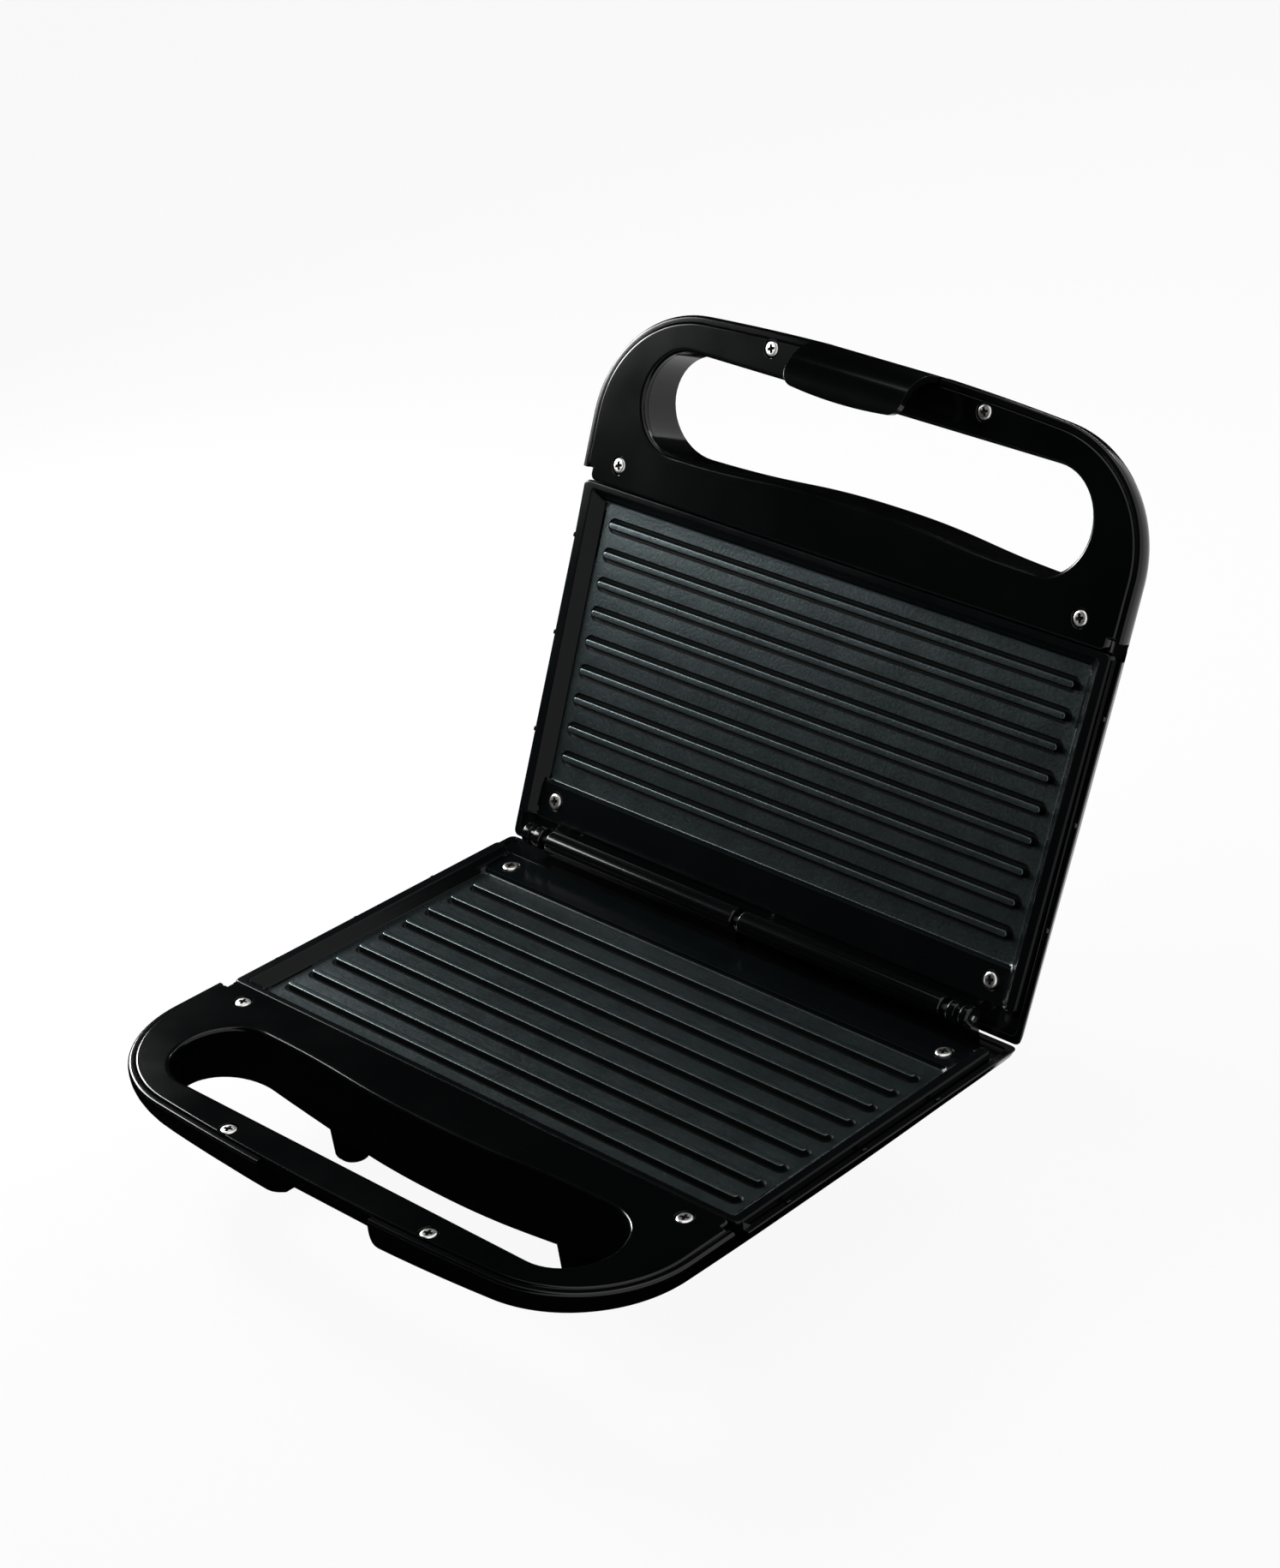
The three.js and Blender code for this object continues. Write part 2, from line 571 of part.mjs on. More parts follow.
function lidHousing() {
  const half = LATCH_HALF + LATCH_PLAY + WALL;
  const block1 = block(-half, half, OPENING_FAR, BEYOND, BELOW, COVER_SEAT);
  const lensHoles = mirrored((side) => post(side * LAMP_SPREAD, LAMP_REACH, BELOW, INNER_CROWN + 1,
    LENS_RADIUS + SEAT));
  const pinHalf = LATCH_PIN_HALF + LATCH_PLAY;
  const pinBore = rod(-pinHalf, pinHalf, ...LATCH_PIVOT, LATCH_PIN_RADIUS + BORE_PLAY);
  return housing([], [block1], [...lensHoles, ...earPlaces.map(latchPocket), pinBore]);
}

// ---------------------------------------------------------------- handle cover

function handleCover() {
  const outline = prism(housingOutline(COVER_INSET), COVER_UNDER, COVER_FACE);
  const back = block(-BEYOND, BEYOND, -BEYOND, COVER_REAR, COVER_UNDER - 1, 0);
  return cut(outline, back, prism(openingOutline(), BELOW, 0), notches(), latchRecess(),
    screwBores(), headRecesses(screwPlaces.slice(0, 4)));
}

// ---------------------------------------------------------------- grill plate

// pocket of the cooking face: a slope from the rim down to the floor
function grillPocket() {
  const front = PLATE_FRONT - FRONT_RIM_TOP;
  const rear = PLATE_REAR + FLANGE_DEPTH - RIM_SLOPE;
  const rise = PLATE_RIM - GRILL_FLOOR;
  const options = { depth: 2, steps: 1, bevelEnabled: false, curveSegments: CURVE_STEPS };
  const geometry = new THREE.ExtrudeGeometry(plateOutline(RIM_TOP, front, rear), options);
  const place = geometry.attributes.position;
  const middle = (front + rear) / 2;
  const halfLength = (front - rear) / 2;
  for (let i = 0; i < place.count; i += 1) {
    const high = place.getZ(i) > 1;
    const lean = high ? RIM_SLOPE * (1 / rise) : -RIM_SLOPE;
    const grow = high ? lean : -RIM_SLOPE;
    place.setX(i, place.getX(i) * (1 + grow / PLATE_REAR_HALF));
    place.setY(i, middle + (place.getY(i) - middle) * (1 + grow / halfLength));
    place.setZ(i, high ? PLATE_RIM + 1 : GRILL_FLOOR);
  }
  return solid(geometry);
}

function rib(index) {
  const y = PLATE_REAR + FLANGE_DEPTH + RIB_MARGIN + index * RIB_PITCH;
  const taper = (PLATE_FRONT_HALF - PLATE_REAR_HALF) / (PLATE_FRONT - PLATE_REAR);
  const half = PLATE_REAR_HALF + taper * (y - PLATE_REAR) - RIM_TOP - RIM_SLOPE - RIB_END_GAP;
  const crest = RIB_CREST / 2;
  const bevel = (RIB_WIDTH - RIB_CREST) / 2;
  const centre = half - RIB_WIDTH / 2;
  const shape = new THREE.Shape();
  shape.moveTo(-centre, y - crest);
  shape.lineTo(centre, y - crest);
  shape.absarc(centre, y, crest, -Math.PI / 2, Math.PI / 2, false);
  shape.lineTo(-centre, y + crest);
  shape.absarc(-centre, y, crest, Math.PI / 2, 3 * Math.PI / 2, false);
  const geometry = new THREE.ExtrudeGeometry(shape, {
    depth: RIB_HEIGHT,
    bevelThickness: bevel,
    bevelSize: bevel,
    bevelSegments: 2,
    curveSegments: 4,
  });
  return solid(geometry.translate(0, 0, GRILL_FLOOR - bevel));
}

function grillPlate() {
  const slab = join(prism(plateOutline(), RIM_UNDER, PLATE_RIM),
    prism(plateOutline(BODY_INSET), PLATE_UNDER, RIM_UNDER));
  const flangeTrim = block(-PLATE_REAR_HALF + RIM_TOP, PLATE_REAR_HALF - RIM_TOP,
    PLATE_REAR + RIM_TOP, PLATE_REAR + FLANGE_DEPTH + 1, FLANGE_LEVEL, 0);
  const pan = cut(slab, grillPocket(), flangeTrim);
  const ribs = [];
  for (let i = 0; i < RIB_COUNT; i += 1) {
    ribs.push(rib(i));
  }
  return cut(join(pan, ...ribs), screwBores(), headRecesses(screwPlaces.slice(4)));
}

// ---------------------------------------------------------------- heating

const HEATER_LEVEL = PLATE_SEAT - HEATER_RADIUS;

function heater() {
  const path = new THREE.CurvePath();
  const level = HEATER_LEVEL;
  const at = (x, y) => new THREE.Vector3(x, y, level);
  const bend = HEATER_BEND;
  const corners = [
    [at(-HEATER_GAP, HEATER_TAIL), at(-HEATER_GAP, HEATER_REAR), at(-HEATER_HALF, HEATER_REAR)],
    [null, at(-HEATER_HALF, HEATER_REAR), at(-HEATER_HALF, HEATER_FRONT)],
    [null, at(-HEATER_HALF, HEATER_FRONT), at(HEATER_HALF, HEATER_FRONT)],
    [null, at(HEATER_HALF, HEATER_FRONT), at(HEATER_HALF, HEATER_REAR)],
    [null, at(HEATER_HALF, HEATER_REAR), at(HEATER_GAP, HEATER_REAR)],
    [null, at(HEATER_GAP, HEATER_REAR), at(HEATER_GAP, HEATER_TAIL)],
  ];
  let from = corners[0][0];
  for (const [, corner, next] of corners) {
    const radius = Math.min(bend, corner.distanceTo(from), corner.distanceTo(next) / 2);
    const arrive = corner.clone().add(from.clone().sub(corner).setLength(radius));
    const leave = corner.clone().add(next.clone().sub(corner).setLength(radius));
    if (arrive.distanceTo(from) > 1e-6) {
      path.add(new THREE.LineCurve3(from, arrive));
    }
    path.add(new THREE.QuadraticBezierCurve3(arrive, corner, leave));
    from = leave;
  }
  path.add(new THREE.LineCurve3(from, corners.at(-1)[2]));
  const round = new THREE.Shape().absarc(0, 0, HEATER_RADIUS, 0, 2 * Math.PI, false);
  const options = { steps: 56, curveSegments: 4, extrudePath: path };
  return solid(new THREE.ExtrudeGeometry(round, options));
}

function tray() {
  const bottom = PLATE_SEAT - TRAY_DEPTH;
  const outer = roundedRectangle(-TRAY_HALF, TRAY_HALF, TRAY_REAR, TRAY_FRONT, TRAY_CORNER);
  const sheet = TRAY_SHEET;
  const inner = roundedRectangle(-TRAY_HALF + sheet, TRAY_HALF - sheet, TRAY_REAR + sheet,
    TRAY_FRONT - sheet, TRAY_CORNER - sheet);
  const reach = HEATER_RADIUS + TRAY_PORT;
  const ports = mirrored((side) => block(side * HEATER_GAP - reach, side * HEATER_GAP + reach,
    TRAY_REAR - 1, TRAY_REAR + sheet + 1, HEATER_LEVEL - reach, 0));
  return cut(prism(outer, bottom, PLATE_SEAT), prism(inner, bottom + sheet, 0), ...ports);
}

// ---------------------------------------------------------------- small parts

function screw([x, y, head, shank]) {
  const under = head - HEAD_HEIGHT;
  const body = join(post(x, y, under, head, HEAD_RADIUS, HEAD_RADIUS * 0.9),
    post(x, y, under - shank, under + CROSS_DEPTH / 2, SHANK_RADIUS, SHANK_RADIUS, 8));
  const slot = head - CROSS_DEPTH;
  return cut(body,
    block(x - CROSS_REACH, x + CROSS_REACH, y - CROSS_HALF, y + CROSS_HALF, slot, head + 1),
    block(x - CROSS_HALF, x + CROSS_HALF, y - CROSS_REACH, y + CROSS_REACH, slot, head + 1));
}

const footPad = ([x, y]) => post(x, y, -FOOT_DROP, PAD_HEIGHT - FOOT_DROP, PAD_RADIUS);

function hingePin() {
  return rod(-KNUCKLE_FAR - PIN_END, KNUCKLE_FAR + PIN_END, 0, 0, PIN_RADIUS, 16);
}

function cordGland() {
  const flangeFront = GLAND_FACE - SEAT;
  const body = join(
    spigot(0, GLAND_LEVEL, flangeFront - GLAND_FLANGE_THICK, flangeFront, GLAND_FLANGE),
    spigot(0, GLAND_LEVEL, flangeFront - 1, GLAND_LENGTH + GLAND_FLANGE_THICK, GLAND_RADIUS));
  return cut(body, spigot(0, GLAND_LEVEL, -THROUGH, GLAND_LENGTH + THROUGH, GLAND_BORE));
}

function terminalBlock() {
  const [long, wide, high] = TERMINAL_SIZE;
  const bottom = TERMINAL_LEVEL + SEAT;
  const body = block(-long / 2, long / 2, TERMINAL_REACH - wide / 2, TERMINAL_REACH + wide / 2,
    bottom, bottom + high);
  const ways = [-1, 0, 1].map((way) => post(way * long / 3, TERMINAL_REACH, bottom + high / 2,
    bottom + high + 1, long / 10, long / 10, 12));
  return cut(body, ...ways);
}

const thermostat = () => post(0, CUTOUT_REACH, PLATE_SEAT - THERMOSTAT_HEIGHT, PLATE_SEAT,
  THERMOSTAT_RADIUS);
const thermalFuse = () => rod(-FUSE_LENGTH / 2, FUSE_LENGTH / 2, CUTOUT_REACH,
  PLATE_SEAT - FUSE_RADIUS, FUSE_RADIUS, 12);

const LENS_SEAT = INNER_CROWN + SEAT;

const lens = (side) => join(
  post(side * LAMP_SPREAD, LAMP_REACH, CROWN_LEVEL - LENS_PROUD, LENS_SEAT + 0.5, LENS_RADIUS),
  post(side * LAMP_SPREAD, LAMP_REACH, LENS_SEAT, LENS_SEAT + LENS_FLANGE_THICK, LENS_FLANGE));

function lamp(side) {
  const bottom = LENS_SEAT + LENS_FLANGE_THICK + SEAT;
  return post(side * LAMP_SPREAD, LAMP_REACH, bottom, bottom + LAMP_LENGTH, LAMP_RADIUS, LAMP_RADIUS,
    16);
}

// ---------------------------------------------------------------- latch

// the hook is centred on the other half's bar as it lies when the press is shut
function hookCentre() {
  const [y, z] = BAR_CENTRE;
  return [
    y * Math.cos(SHUT_TILT) - z * Math.sin(SHUT_TILT),
    -y * Math.sin(SHUT_TILT) - z * Math.cos(SHUT_TILT),
  ];
}

function latch() {
  const [barY, barZ] = BAR_CENTRE;
  const [hookY, hookZ] = hookCentre();
  const outer = BAR_ROUND;
  const inner = BAR_ROUND - LATCH_THICK;
  const tip = Math.acos((LATCH_TIP - hookY) / outer);
  const shape = new THREE.Shape();
  shape.absarc(barY, barZ, outer, -LATCH_FOOT, 0, false);
  shape.absarc(hookY, hookZ, outer, 0, tip, false);
  shape.absarc(hookY, hookZ, inner, tip, 0, true);
  shape.absarc(barY, barZ, inner, 0, -LATCH_FOOT, true);
  const strap = sideProfile(shape, -LATCH_HALF, LATCH_HALF, 8);

  const side = LATCH_HALF;
  const corner = LATCH_CORNER;
  const edge = LATCH_TIP + LATCH_TIP_BOW;
  const plan = new THREE.Shape();
  plan.moveTo(-side + corner, edge);
  plan.quadraticCurveTo(0, LATCH_TIP - LATCH_TIP_BOW, side - corner, edge);
  plan.quadraticCurveTo(side, edge, side, edge + corner);
  plan.lineTo(side, BEYOND);
  plan.lineTo(-side, BEYOND);
  plan.lineTo(-side, edge + corner);
  plan.quadraticCurveTo(-side, edge, -side + corner, edge);
  const trimmed = strap.intersect(prism(plan, BELOW, -BELOW));

  const [y, z] = LATCH_PIVOT;
  const ears = earPlaces.map((x) => {
    const x0 = x - EAR_WIDTH / 2;
    const x1 = x + EAR_WIDTH / 2;
    const arm = block(x0, x1, y, barY + inner, z - EAR_HALF_HEIGHT, z + EAR_HALF_HEIGHT);
    return join(rod(x0, x1, y, z, HUB_RADIUS), arm);
  });
  const bore = rod(-side, side, y, z, LATCH_PIN_RADIUS + BORE_PLAY, 16);
  return cut(join(trimmed, ...ears), bore);
}

const latchPin = () =>
  rod(-LATCH_PIN_HALF, LATCH_PIN_HALF, ...LATCH_PIVOT, LATCH_PIN_RADIUS, 12);

// ---------------------------------------------------------------- assembly

const basePlace = new THREE.Matrix4().makeRotationZ(Math.PI);
const lidPlace = new THREE.Matrix4().makeRotationX(Math.PI - OPEN_ANGLE);

const group = new THREE.Group();

function add(place, name, body, material) {
  const mesh = part(name, body, material);
  mesh.geometry.applyMatrix4(place);
  group.add(mesh);
}

function addHalf(place, half, housingBody) {
  add(place, half + '_housing', housingBody, GLOSS_BLACK);
  add(place, half + '_handle_cover', handleCover(), GLOSS_BLACK);
  add(place, half + '_grill_plate', grillPlate(), NON_STICK);
  add(place, half + '_heater', heater(), HEATER_STEEL);
  add(place, half + '_reflector_tray', tray(), REFLECTOR);
  screwPlaces.forEach((at, i) => add(place, half + '_screw_' + (i + 1), screw(at), NICKEL));
}

addHalf(basePlace, 'base', baseHousing());
add(basePlace, 'hinge_pin', hingePin(), STEEL);
add(basePlace, 'thermal_fuse', thermalFuse(), CERAMIC);
add(basePlace, 'terminal_block', terminalBlock(), PHENOLIC);
add(basePlace, 'cord_gland', cordGland(), RUBBER);
footPlaces.forEach((at, i) => add(basePlace, 'foot_pad_' + (i + 1), footPad(at), RUBBER));

addHalf(lidPlace, 'lid', lidHousing());
add(lidPlace, 'thermostat', thermostat(), STEEL);
add(lidPlace, 'power_lens', lens(1), RED_LENS);
add(lidPlace, 'ready_lens', lens(-1), GREEN_LENS);
add(lidPlace, 'power_lamp', lamp(1), LAMP_GLASS);
add(lidPlace, 'ready_lamp', lamp(-1), LAMP_GLASS);
add(lidPlace, 'latch_pin', latchPin(), STEEL);
add(lidPlace, 'latch', latch(), GLOSS_BLACK);

// the origin is under the middle of the open press
const bounds = new THREE.Box3().setFromObject(group);
const middle = bounds.getCenter(new THREE.Vector3());
for (const mesh of group.children) {
  mesh.geometry.translate(-middle.x, -middle.y, FOOT_DROP);
}

export default group;
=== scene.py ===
"""Looks of an open panini press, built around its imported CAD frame.

Both halves are the same moulding. Each is modelled in its own half frame, in
millimetres: X along the hinge, Y from the hinge axis to the handle, Z towards the
other half. A placement matrix then turns the finished mesh into the row frame.
"""

import logging
import math
from dataclasses import dataclass, field
from enum import Enum
from typing import Callable, Iterable, Sequence

import bmesh
import bpy
from mathutils import Matrix, Vector


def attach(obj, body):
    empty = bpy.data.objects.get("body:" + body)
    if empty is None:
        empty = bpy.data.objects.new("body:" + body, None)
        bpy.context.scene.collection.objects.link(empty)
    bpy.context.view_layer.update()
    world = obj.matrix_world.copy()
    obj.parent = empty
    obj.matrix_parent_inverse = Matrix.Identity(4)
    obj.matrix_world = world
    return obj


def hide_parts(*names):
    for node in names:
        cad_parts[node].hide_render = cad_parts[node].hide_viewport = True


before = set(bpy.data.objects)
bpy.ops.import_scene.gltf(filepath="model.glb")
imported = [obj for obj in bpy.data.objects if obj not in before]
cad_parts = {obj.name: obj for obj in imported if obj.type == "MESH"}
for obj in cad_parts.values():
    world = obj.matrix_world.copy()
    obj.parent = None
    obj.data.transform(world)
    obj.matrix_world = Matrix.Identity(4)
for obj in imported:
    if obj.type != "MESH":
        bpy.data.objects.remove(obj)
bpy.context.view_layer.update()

log = logging.getLogger("panini_press")

Point = tuple[float, float, float]

HINGE = Vector((0.0, 0.053068, 0.050))  # the hinge axis in the row frame, in metres
OPEN_ANGLE = math.radians(115.1)  # between the faces of the two plates
MILLIMETRE = 0.001

# Sizes that several pieces share, in a half frame, in millimetres.
FOOT_DROP = 50.0  # table to hinge axis
WALL = 2.6  # thickness of the shell
DEEP = -60.0  # below every shell
CLEAR = 8.0  # above every shell
BEYOND = 240.0  # in front of every handle
BORE = 1.65  # radius of a screw's bore
EAR_X = 20.0  # middle of the press to the middle of a latch ear
FEET = ((60.0, 148.0), (75.0, 14.0))  # plan places of the right-hand foot posts
LENS_X, LENS_Y = 12.0, 125.0  # plan place of the right-hand lamp lens
GLAND_LEVEL = -27.0  # level of the cord gland's axis
LATCH_PIVOT = (206.5, -12.5)  # the latch pin, from the hinge axis and in level

MERGE_DISTANCE = 1e-4
CIRCLE_PULL = 0.5523  # handle length of a cubic that follows a quarter circle, as a share of its radius
ALONG_X = Matrix.Rotation(math.pi / 2, 4, "Y")  # turns the Z axis along the hinge
ALONG_Y = Matrix.Rotation(-math.pi / 2, 4, "X")  # turns the Z axis towards the handle


class Half(Enum):
    """The two halves of the press."""

    BASE = "base"
    LID = "lid"

    @property
    def matrix(self) -> Matrix:
        """Placement of the half frame, in millimetres, in the row frame.

        Returns:
            Matrix that takes the half frame to the row frame.
        """
        if self is Half.BASE:
            turn = Matrix.Rotation(math.pi, 4, "Z")
        else:
            turn = Matrix.Rotation(math.pi - OPEN_ANGLE, 4, "X")
        return Matrix.Translation(HINGE) @ turn @ Matrix.Scale(MILLIMETRE, 4)


# ------------------------------------------------------------------ materials


def linear(code: str) -> tuple[float, float, float, float]:
    """Turn an sRGB hex colour into linear RGBA.

    Args:
        code: Colour such as "#1a2b3c".

    Returns:
        Linear red, green, blue and an alpha of 1.
    """
    values = [int(code[i : i + 2], 16) / 255 for i in (1, 3, 5)]
    red, green, blue = (v / 12.92 if v <= 0.04045 else ((v + 0.055) / 1.055) ** 2.4 for v in values)
    return red, green, blue, 1.0


def add_node(tree: bpy.types.NodeTree, kind: str, inputs: dict | None = None, **settings) -> bpy.types.Node:
    """Add a shader node.

    Args:
        tree: Node tree that takes the node.
        kind: Node type, such as "ShaderNodeTexNoise".
        inputs: Socket name or index to a plain value or to the output that feeds it.
        **settings: Attributes of the node itself.

    Returns:
        The new node.
    """
    made = tree.nodes.new(kind)
    for name, value in settings.items():
        setattr(made, name, value)
    for name, value in (inputs or {}).items():
        if isinstance(value, bpy.types.NodeSocket):
            tree.links.new(value, made.inputs[name])
        else:
            made.inputs[name].default_value = value
    return made


def grey(level: float) -> tuple[float, float, float, float]:
    """Return a linear grey with an alpha of 1."""
    return level, level, level, 1.0


@dataclass(frozen=True)
class Finish:
    """A surface with fine grain, slow tone variation and worn edges.

    Attributes:
        name: Common name of the real material and how its surface was made.
        colour: Base colour, sRGB hex.
        shade: Second colour of the slow variation, sRGB hex.
        metallic: Share of metal.
        roughness: Mean roughness.
        roughness_swing: How far the roughness wanders.
        specular: Specular level of the shader.
        tint: Tint of the reflections, sRGB hex.
        patch_mm: Size of the slow variation.
        grain_mm: Size of the surface grain.
        grain_depth_mm: Depth of the surface grain.
        grain_share: How much of the roughness follows the grain instead of the slow variation.
        edge_colour: Colour along worn edges, sRGB hex, or None for none.
        edge_mm: Width of the worn edge.
    """

    name: str
    colour: str
    shade: str
    metallic: float = 0.0
    roughness: float = 0.4
    roughness_swing: float = 0.06
    specular: float = 0.5
    tint: str = "#ffffff"
    patch_mm: float = 40.0
    grain_mm: float = 0.6
    grain_depth_mm: float = 0.01
    grain_share: float = 0.0
    edge_colour: str | None = None
    edge_mm: float = 0.5

    def build(self) -> bpy.types.Material:
        """Make the material.

        Returns:
            The finished material.
        """
        material = bpy.data.materials.new(self.name)
        material.use_nodes = True
        tree = material.node_tree
        shader = tree.nodes["Principled BSDF"]
        place = add_node(tree, "ShaderNodeTexCoord").outputs["Object"]
        patch = add_node(
            tree,
            "ShaderNodeTexNoise",
            {"Vector": place, "Scale": 1000 / self.patch_mm, "Detail": 3.0, "Roughness": 0.55},
        )
        tone = add_node(
            tree,
            "ShaderNodeMix",
            {"Factor": patch.outputs["Fac"], "A": linear(self.colour), "B": linear(self.shade)},
            data_type="RGBA",
        )
        colour = tone.outputs["Result"]
        if self.edge_colour:
            colour = self.worn(tree, colour)
        tree.links.new(colour, shader.inputs["Base Color"])
        grain = add_node(
            tree,
            "ShaderNodeTexNoise",
            {"Vector": place, "Scale": 1000 / self.grain_mm, "Detail": 2.0, "Roughness": 0.5},
        )
        sheen = add_node(
            tree,
            "ShaderNodeMix",
            {"Factor": self.grain_share, "A": patch.outputs["Fac"], "B": grain.outputs["Fac"]},
        )
        rough = add_node(
            tree,
            "ShaderNodeMapRange",
            {
                "Value": sheen.outputs["Result"],
                "From Min": 0.3,
                "From Max": 0.7,
                "To Min": max(self.roughness - self.roughness_swing, 0.02),
                "To Max": self.roughness + self.roughness_swing,
            },
        )
        tree.links.new(rough.outputs["Result"], shader.inputs["Roughness"])
        bump = add_node(
            tree,
            "ShaderNodeBump",
            {"Height": grain.outputs["Fac"], "Strength": 1.0, "Distance": self.grain_depth_mm / 1000},
        )
        tree.links.new(bump.outputs["Normal"], shader.inputs["Normal"])
        shader.inputs["Metallic"].default_value = self.metallic
        shader.inputs["Specular IOR Level"].default_value = self.specular
        shader.inputs["Specular Tint"].default_value = linear(self.tint)
        return material

    def worn(self, tree: bpy.types.NodeTree, colour: bpy.types.NodeSocket) -> bpy.types.NodeSocket:
        """Lighten the colour along convex edges.

        Args:
            tree: Node tree of the material.
            colour: Colour away from the edges.

        Returns:
            Colour with worn edges.
        """
        soft = add_node(tree, "ShaderNodeBevel", {"Radius": self.edge_mm / 1000}, samples=4)
        hard = add_node(tree, "ShaderNodeNewGeometry")
        bend = add_node(
            tree,
            "ShaderNodeVectorMath",
            {0: soft.outputs["Normal"], 1: hard.outputs["Normal"]},
            operation="DOT_PRODUCT",
        )
        wear = add_node(
            tree,
            "ShaderNodeMapRange",
            {"Value": bend.outputs["Value"], "From Min": 0.98, "From Max": 0.8, "To Max": 0.6},
        )
        mixed = add_node(
            tree,
            "ShaderNodeMix",
            {"Factor": wear.outputs["Result"], "A": colour, "B": linear(self.edge_colour)},
            data_type="RGBA",
        )
        return mixed.outputs["Result"]


# Polished ABS: the mould's mirror finish shows faint ripples and a deep neutral black.
GLOSS_ABS = Finish(
    "gloss black ABS, mirror moulded", "#060708", "#08090a", roughness=0.14, roughness_swing=0.03,
    specular=0.35, patch_mm=60, grain_mm=9, grain_depth_mm=0.012, edge_colour="#15181a",
)
# The covers are the same plastic from a tool of their own: a shade darker, with a finer ripple.
SATIN_ABS = Finish(
    "satin black ABS, moulded cover", "#050607", "#070909", roughness=0.13, roughness_swing=0.03,
    specular=0.3, patch_mm=45, grain_mm=1.2, grain_depth_mm=0.008, edge_colour="#1b1f21",
)
# PTFE coat sprayed on die-cast aluminium: fine orange peel, slate with a cool green cast.
NONSTICK = Finish(
    "PTFE non-stick on die-cast aluminium", "#0a0e10", "#0d1113", roughness=0.33, roughness_swing=0.05,
    specular=1.0, tint="#dffbff", patch_mm=14, grain_mm=1.1, grain_depth_mm=0.06, grain_share=0.6,
)
# The rim and the flange were ground smooth before coating, so the coat is glossier there; their darker
# colour and low specular are painted shade, standing in for the dark reflection of the other half.
NONSTICK_RIM_GLOSSY_AND_SHADED = Finish(
    "PTFE non-stick on ground aluminium with painted shade", "#070a0b", "#090d0e", roughness=0.2,
    roughness_swing=0.03, specular=0.16, patch_mm=30, grain_mm=1.4, grain_depth_mm=0.006,
    edge_colour="#3a4142", edge_mm=0.35,
)
# The ribs' flanks are painted near black and dull: painted shade in the grooves beside the ribs.
NONSTICK_FLANK_PAINTED_SHADE = Finish(
    "painted shade on the ribs' flanks", "#040607", "#060809", roughness=0.5, specular=0.08, patch_mm=9,
    grain_mm=0.8, grain_depth_mm=0.02,
)
# Bright nickel on a steel screw: almost a mirror, slightly warm.
NICKEL = Finish(
    "bright nickel plated steel", "#e6e5e1", "#d9d8d4", metallic=1.0, roughness=0.32, patch_mm=3,
    grain_mm=0.4, grain_depth_mm=0.004,
)
# The driver's cross is painted as dark, dull steel: painted shade in the recess of the screw's head.
RECESS_PAINTED_SHADE = Finish(
    "painted shade in the driver's cross", "#1b1b1c", "#121213", metallic=0.6, roughness=0.55, patch_mm=1,
    grain_mm=0.3, grain_depth_mm=0.01,
)
# Drawn steel pin: fine lengthwise scratches under a thin film of oil.
PIN_STEEL = Finish(
    "drawn bright steel", "#9da0a3", "#8b8e90", metallic=1.0, roughness=0.28, patch_mm=4,
    grain_mm=0.5, grain_depth_mm=0.006,
)
# Heater sheath: steel blued and browned by heat.
HEATER_SHEATH = Finish(
    "heat tinted steel sheath", "#5a554e", "#47413f", metallic=1.0, roughness=0.48, patch_mm=18,
    grain_mm=0.6, grain_depth_mm=0.01,
)
# Reflector tray: aluminised sheet with its rolled spangle.
REFLECTOR = Finish(
    "aluminised steel sheet", "#b4b7b9", "#c2c4c5", metallic=1.0, roughness=0.3, patch_mm=9,
    grain_mm=1.5, grain_depth_mm=0.01,
)
# Silicone foot pads: matt, with a dusty bloom.
RUBBER = Finish(
    "black silicone rubber", "#17181a", "#1f2022", roughness=0.78, patch_mm=6, grain_mm=0.5,
    grain_depth_mm=0.02, edge_colour="#2b2c2e",
)
# Unglazed steatite body of the fuse: chalky, slightly mottled.
STEATITE = Finish(
    "unglazed steatite", "#e4ddce", "#d8d0bf", roughness=0.62, patch_mm=4, grain_mm=0.4,
    grain_depth_mm=0.015,
)
# Pressed phenolic terminal block: dark brown with a dull pressing skin.
PHENOLIC = Finish(
    "pressed phenolic", "#2c2018", "#382a20", roughness=0.5, patch_mm=5, grain_mm=0.6,
    grain_depth_mm=0.012,
)
# Neon lamp glass: pale and glossy.
LAMP_GLASS = Finish(
    "neon lamp glass", "#d9d3c6", "#cfc8b8", roughness=0.08, patch_mm=5, grain_mm=2,
    grain_depth_mm=0.004,
)
# Lamp lenses: dyed polycarbonate from a polished mould, deep in colour and glossy.
RED_LENS = Finish(
    "red polycarbonate lens", "#8e0f10", "#a31414", roughness=0.1, patch_mm=5, grain_mm=2,
    grain_depth_mm=0.004,
)
GREEN_LENS = Finish(
    "green polycarbonate lens", "#136a2b", "#1a7a34", roughness=0.1, patch_mm=5, grain_mm=2,
    grain_depth_mm=0.004,
)

MATERIALS: dict[str, bpy.types.Material] = {}


def material_of(finish: Finish) -> bpy.types.Material:
    """Find the material of a finish, making it once.

    Args:
        finish: Finish of a surface.

    Returns:
        Its material.
    """
    if finish.name not in MATERIALS:
        MATERIALS[finish.name] = finish.build()
    return MATERIALS[finish.name]


# ------------------------------------------------------------------ mesh tools

def put_in_scene(name: str, shape: bmesh.types.BMesh) -> bpy.types.Object:
    """Turn a bmesh into an object of the scene, and free it.

    Args:
        name: Name of the object.
        shape: Finished bmesh.

    Returns:
        The object.
    """
    mesh = bpy.data.meshes.new(name)
    shape.to_mesh(mesh)
    shape.free()
    made = bpy.data.objects.new(name, mesh)
    bpy.context.scene.collection.objects.link(made)
    return made


def weld(shape: bmesh.types.BMesh) -> None:
    """Merge a closed shape's doubles and point its faces outwards."""
    bmesh.ops.remove_doubles(shape, verts=shape.verts, dist=MERGE_DISTANCE)
    bmesh.ops.recalc_face_normals(shape, faces=shape.faces)


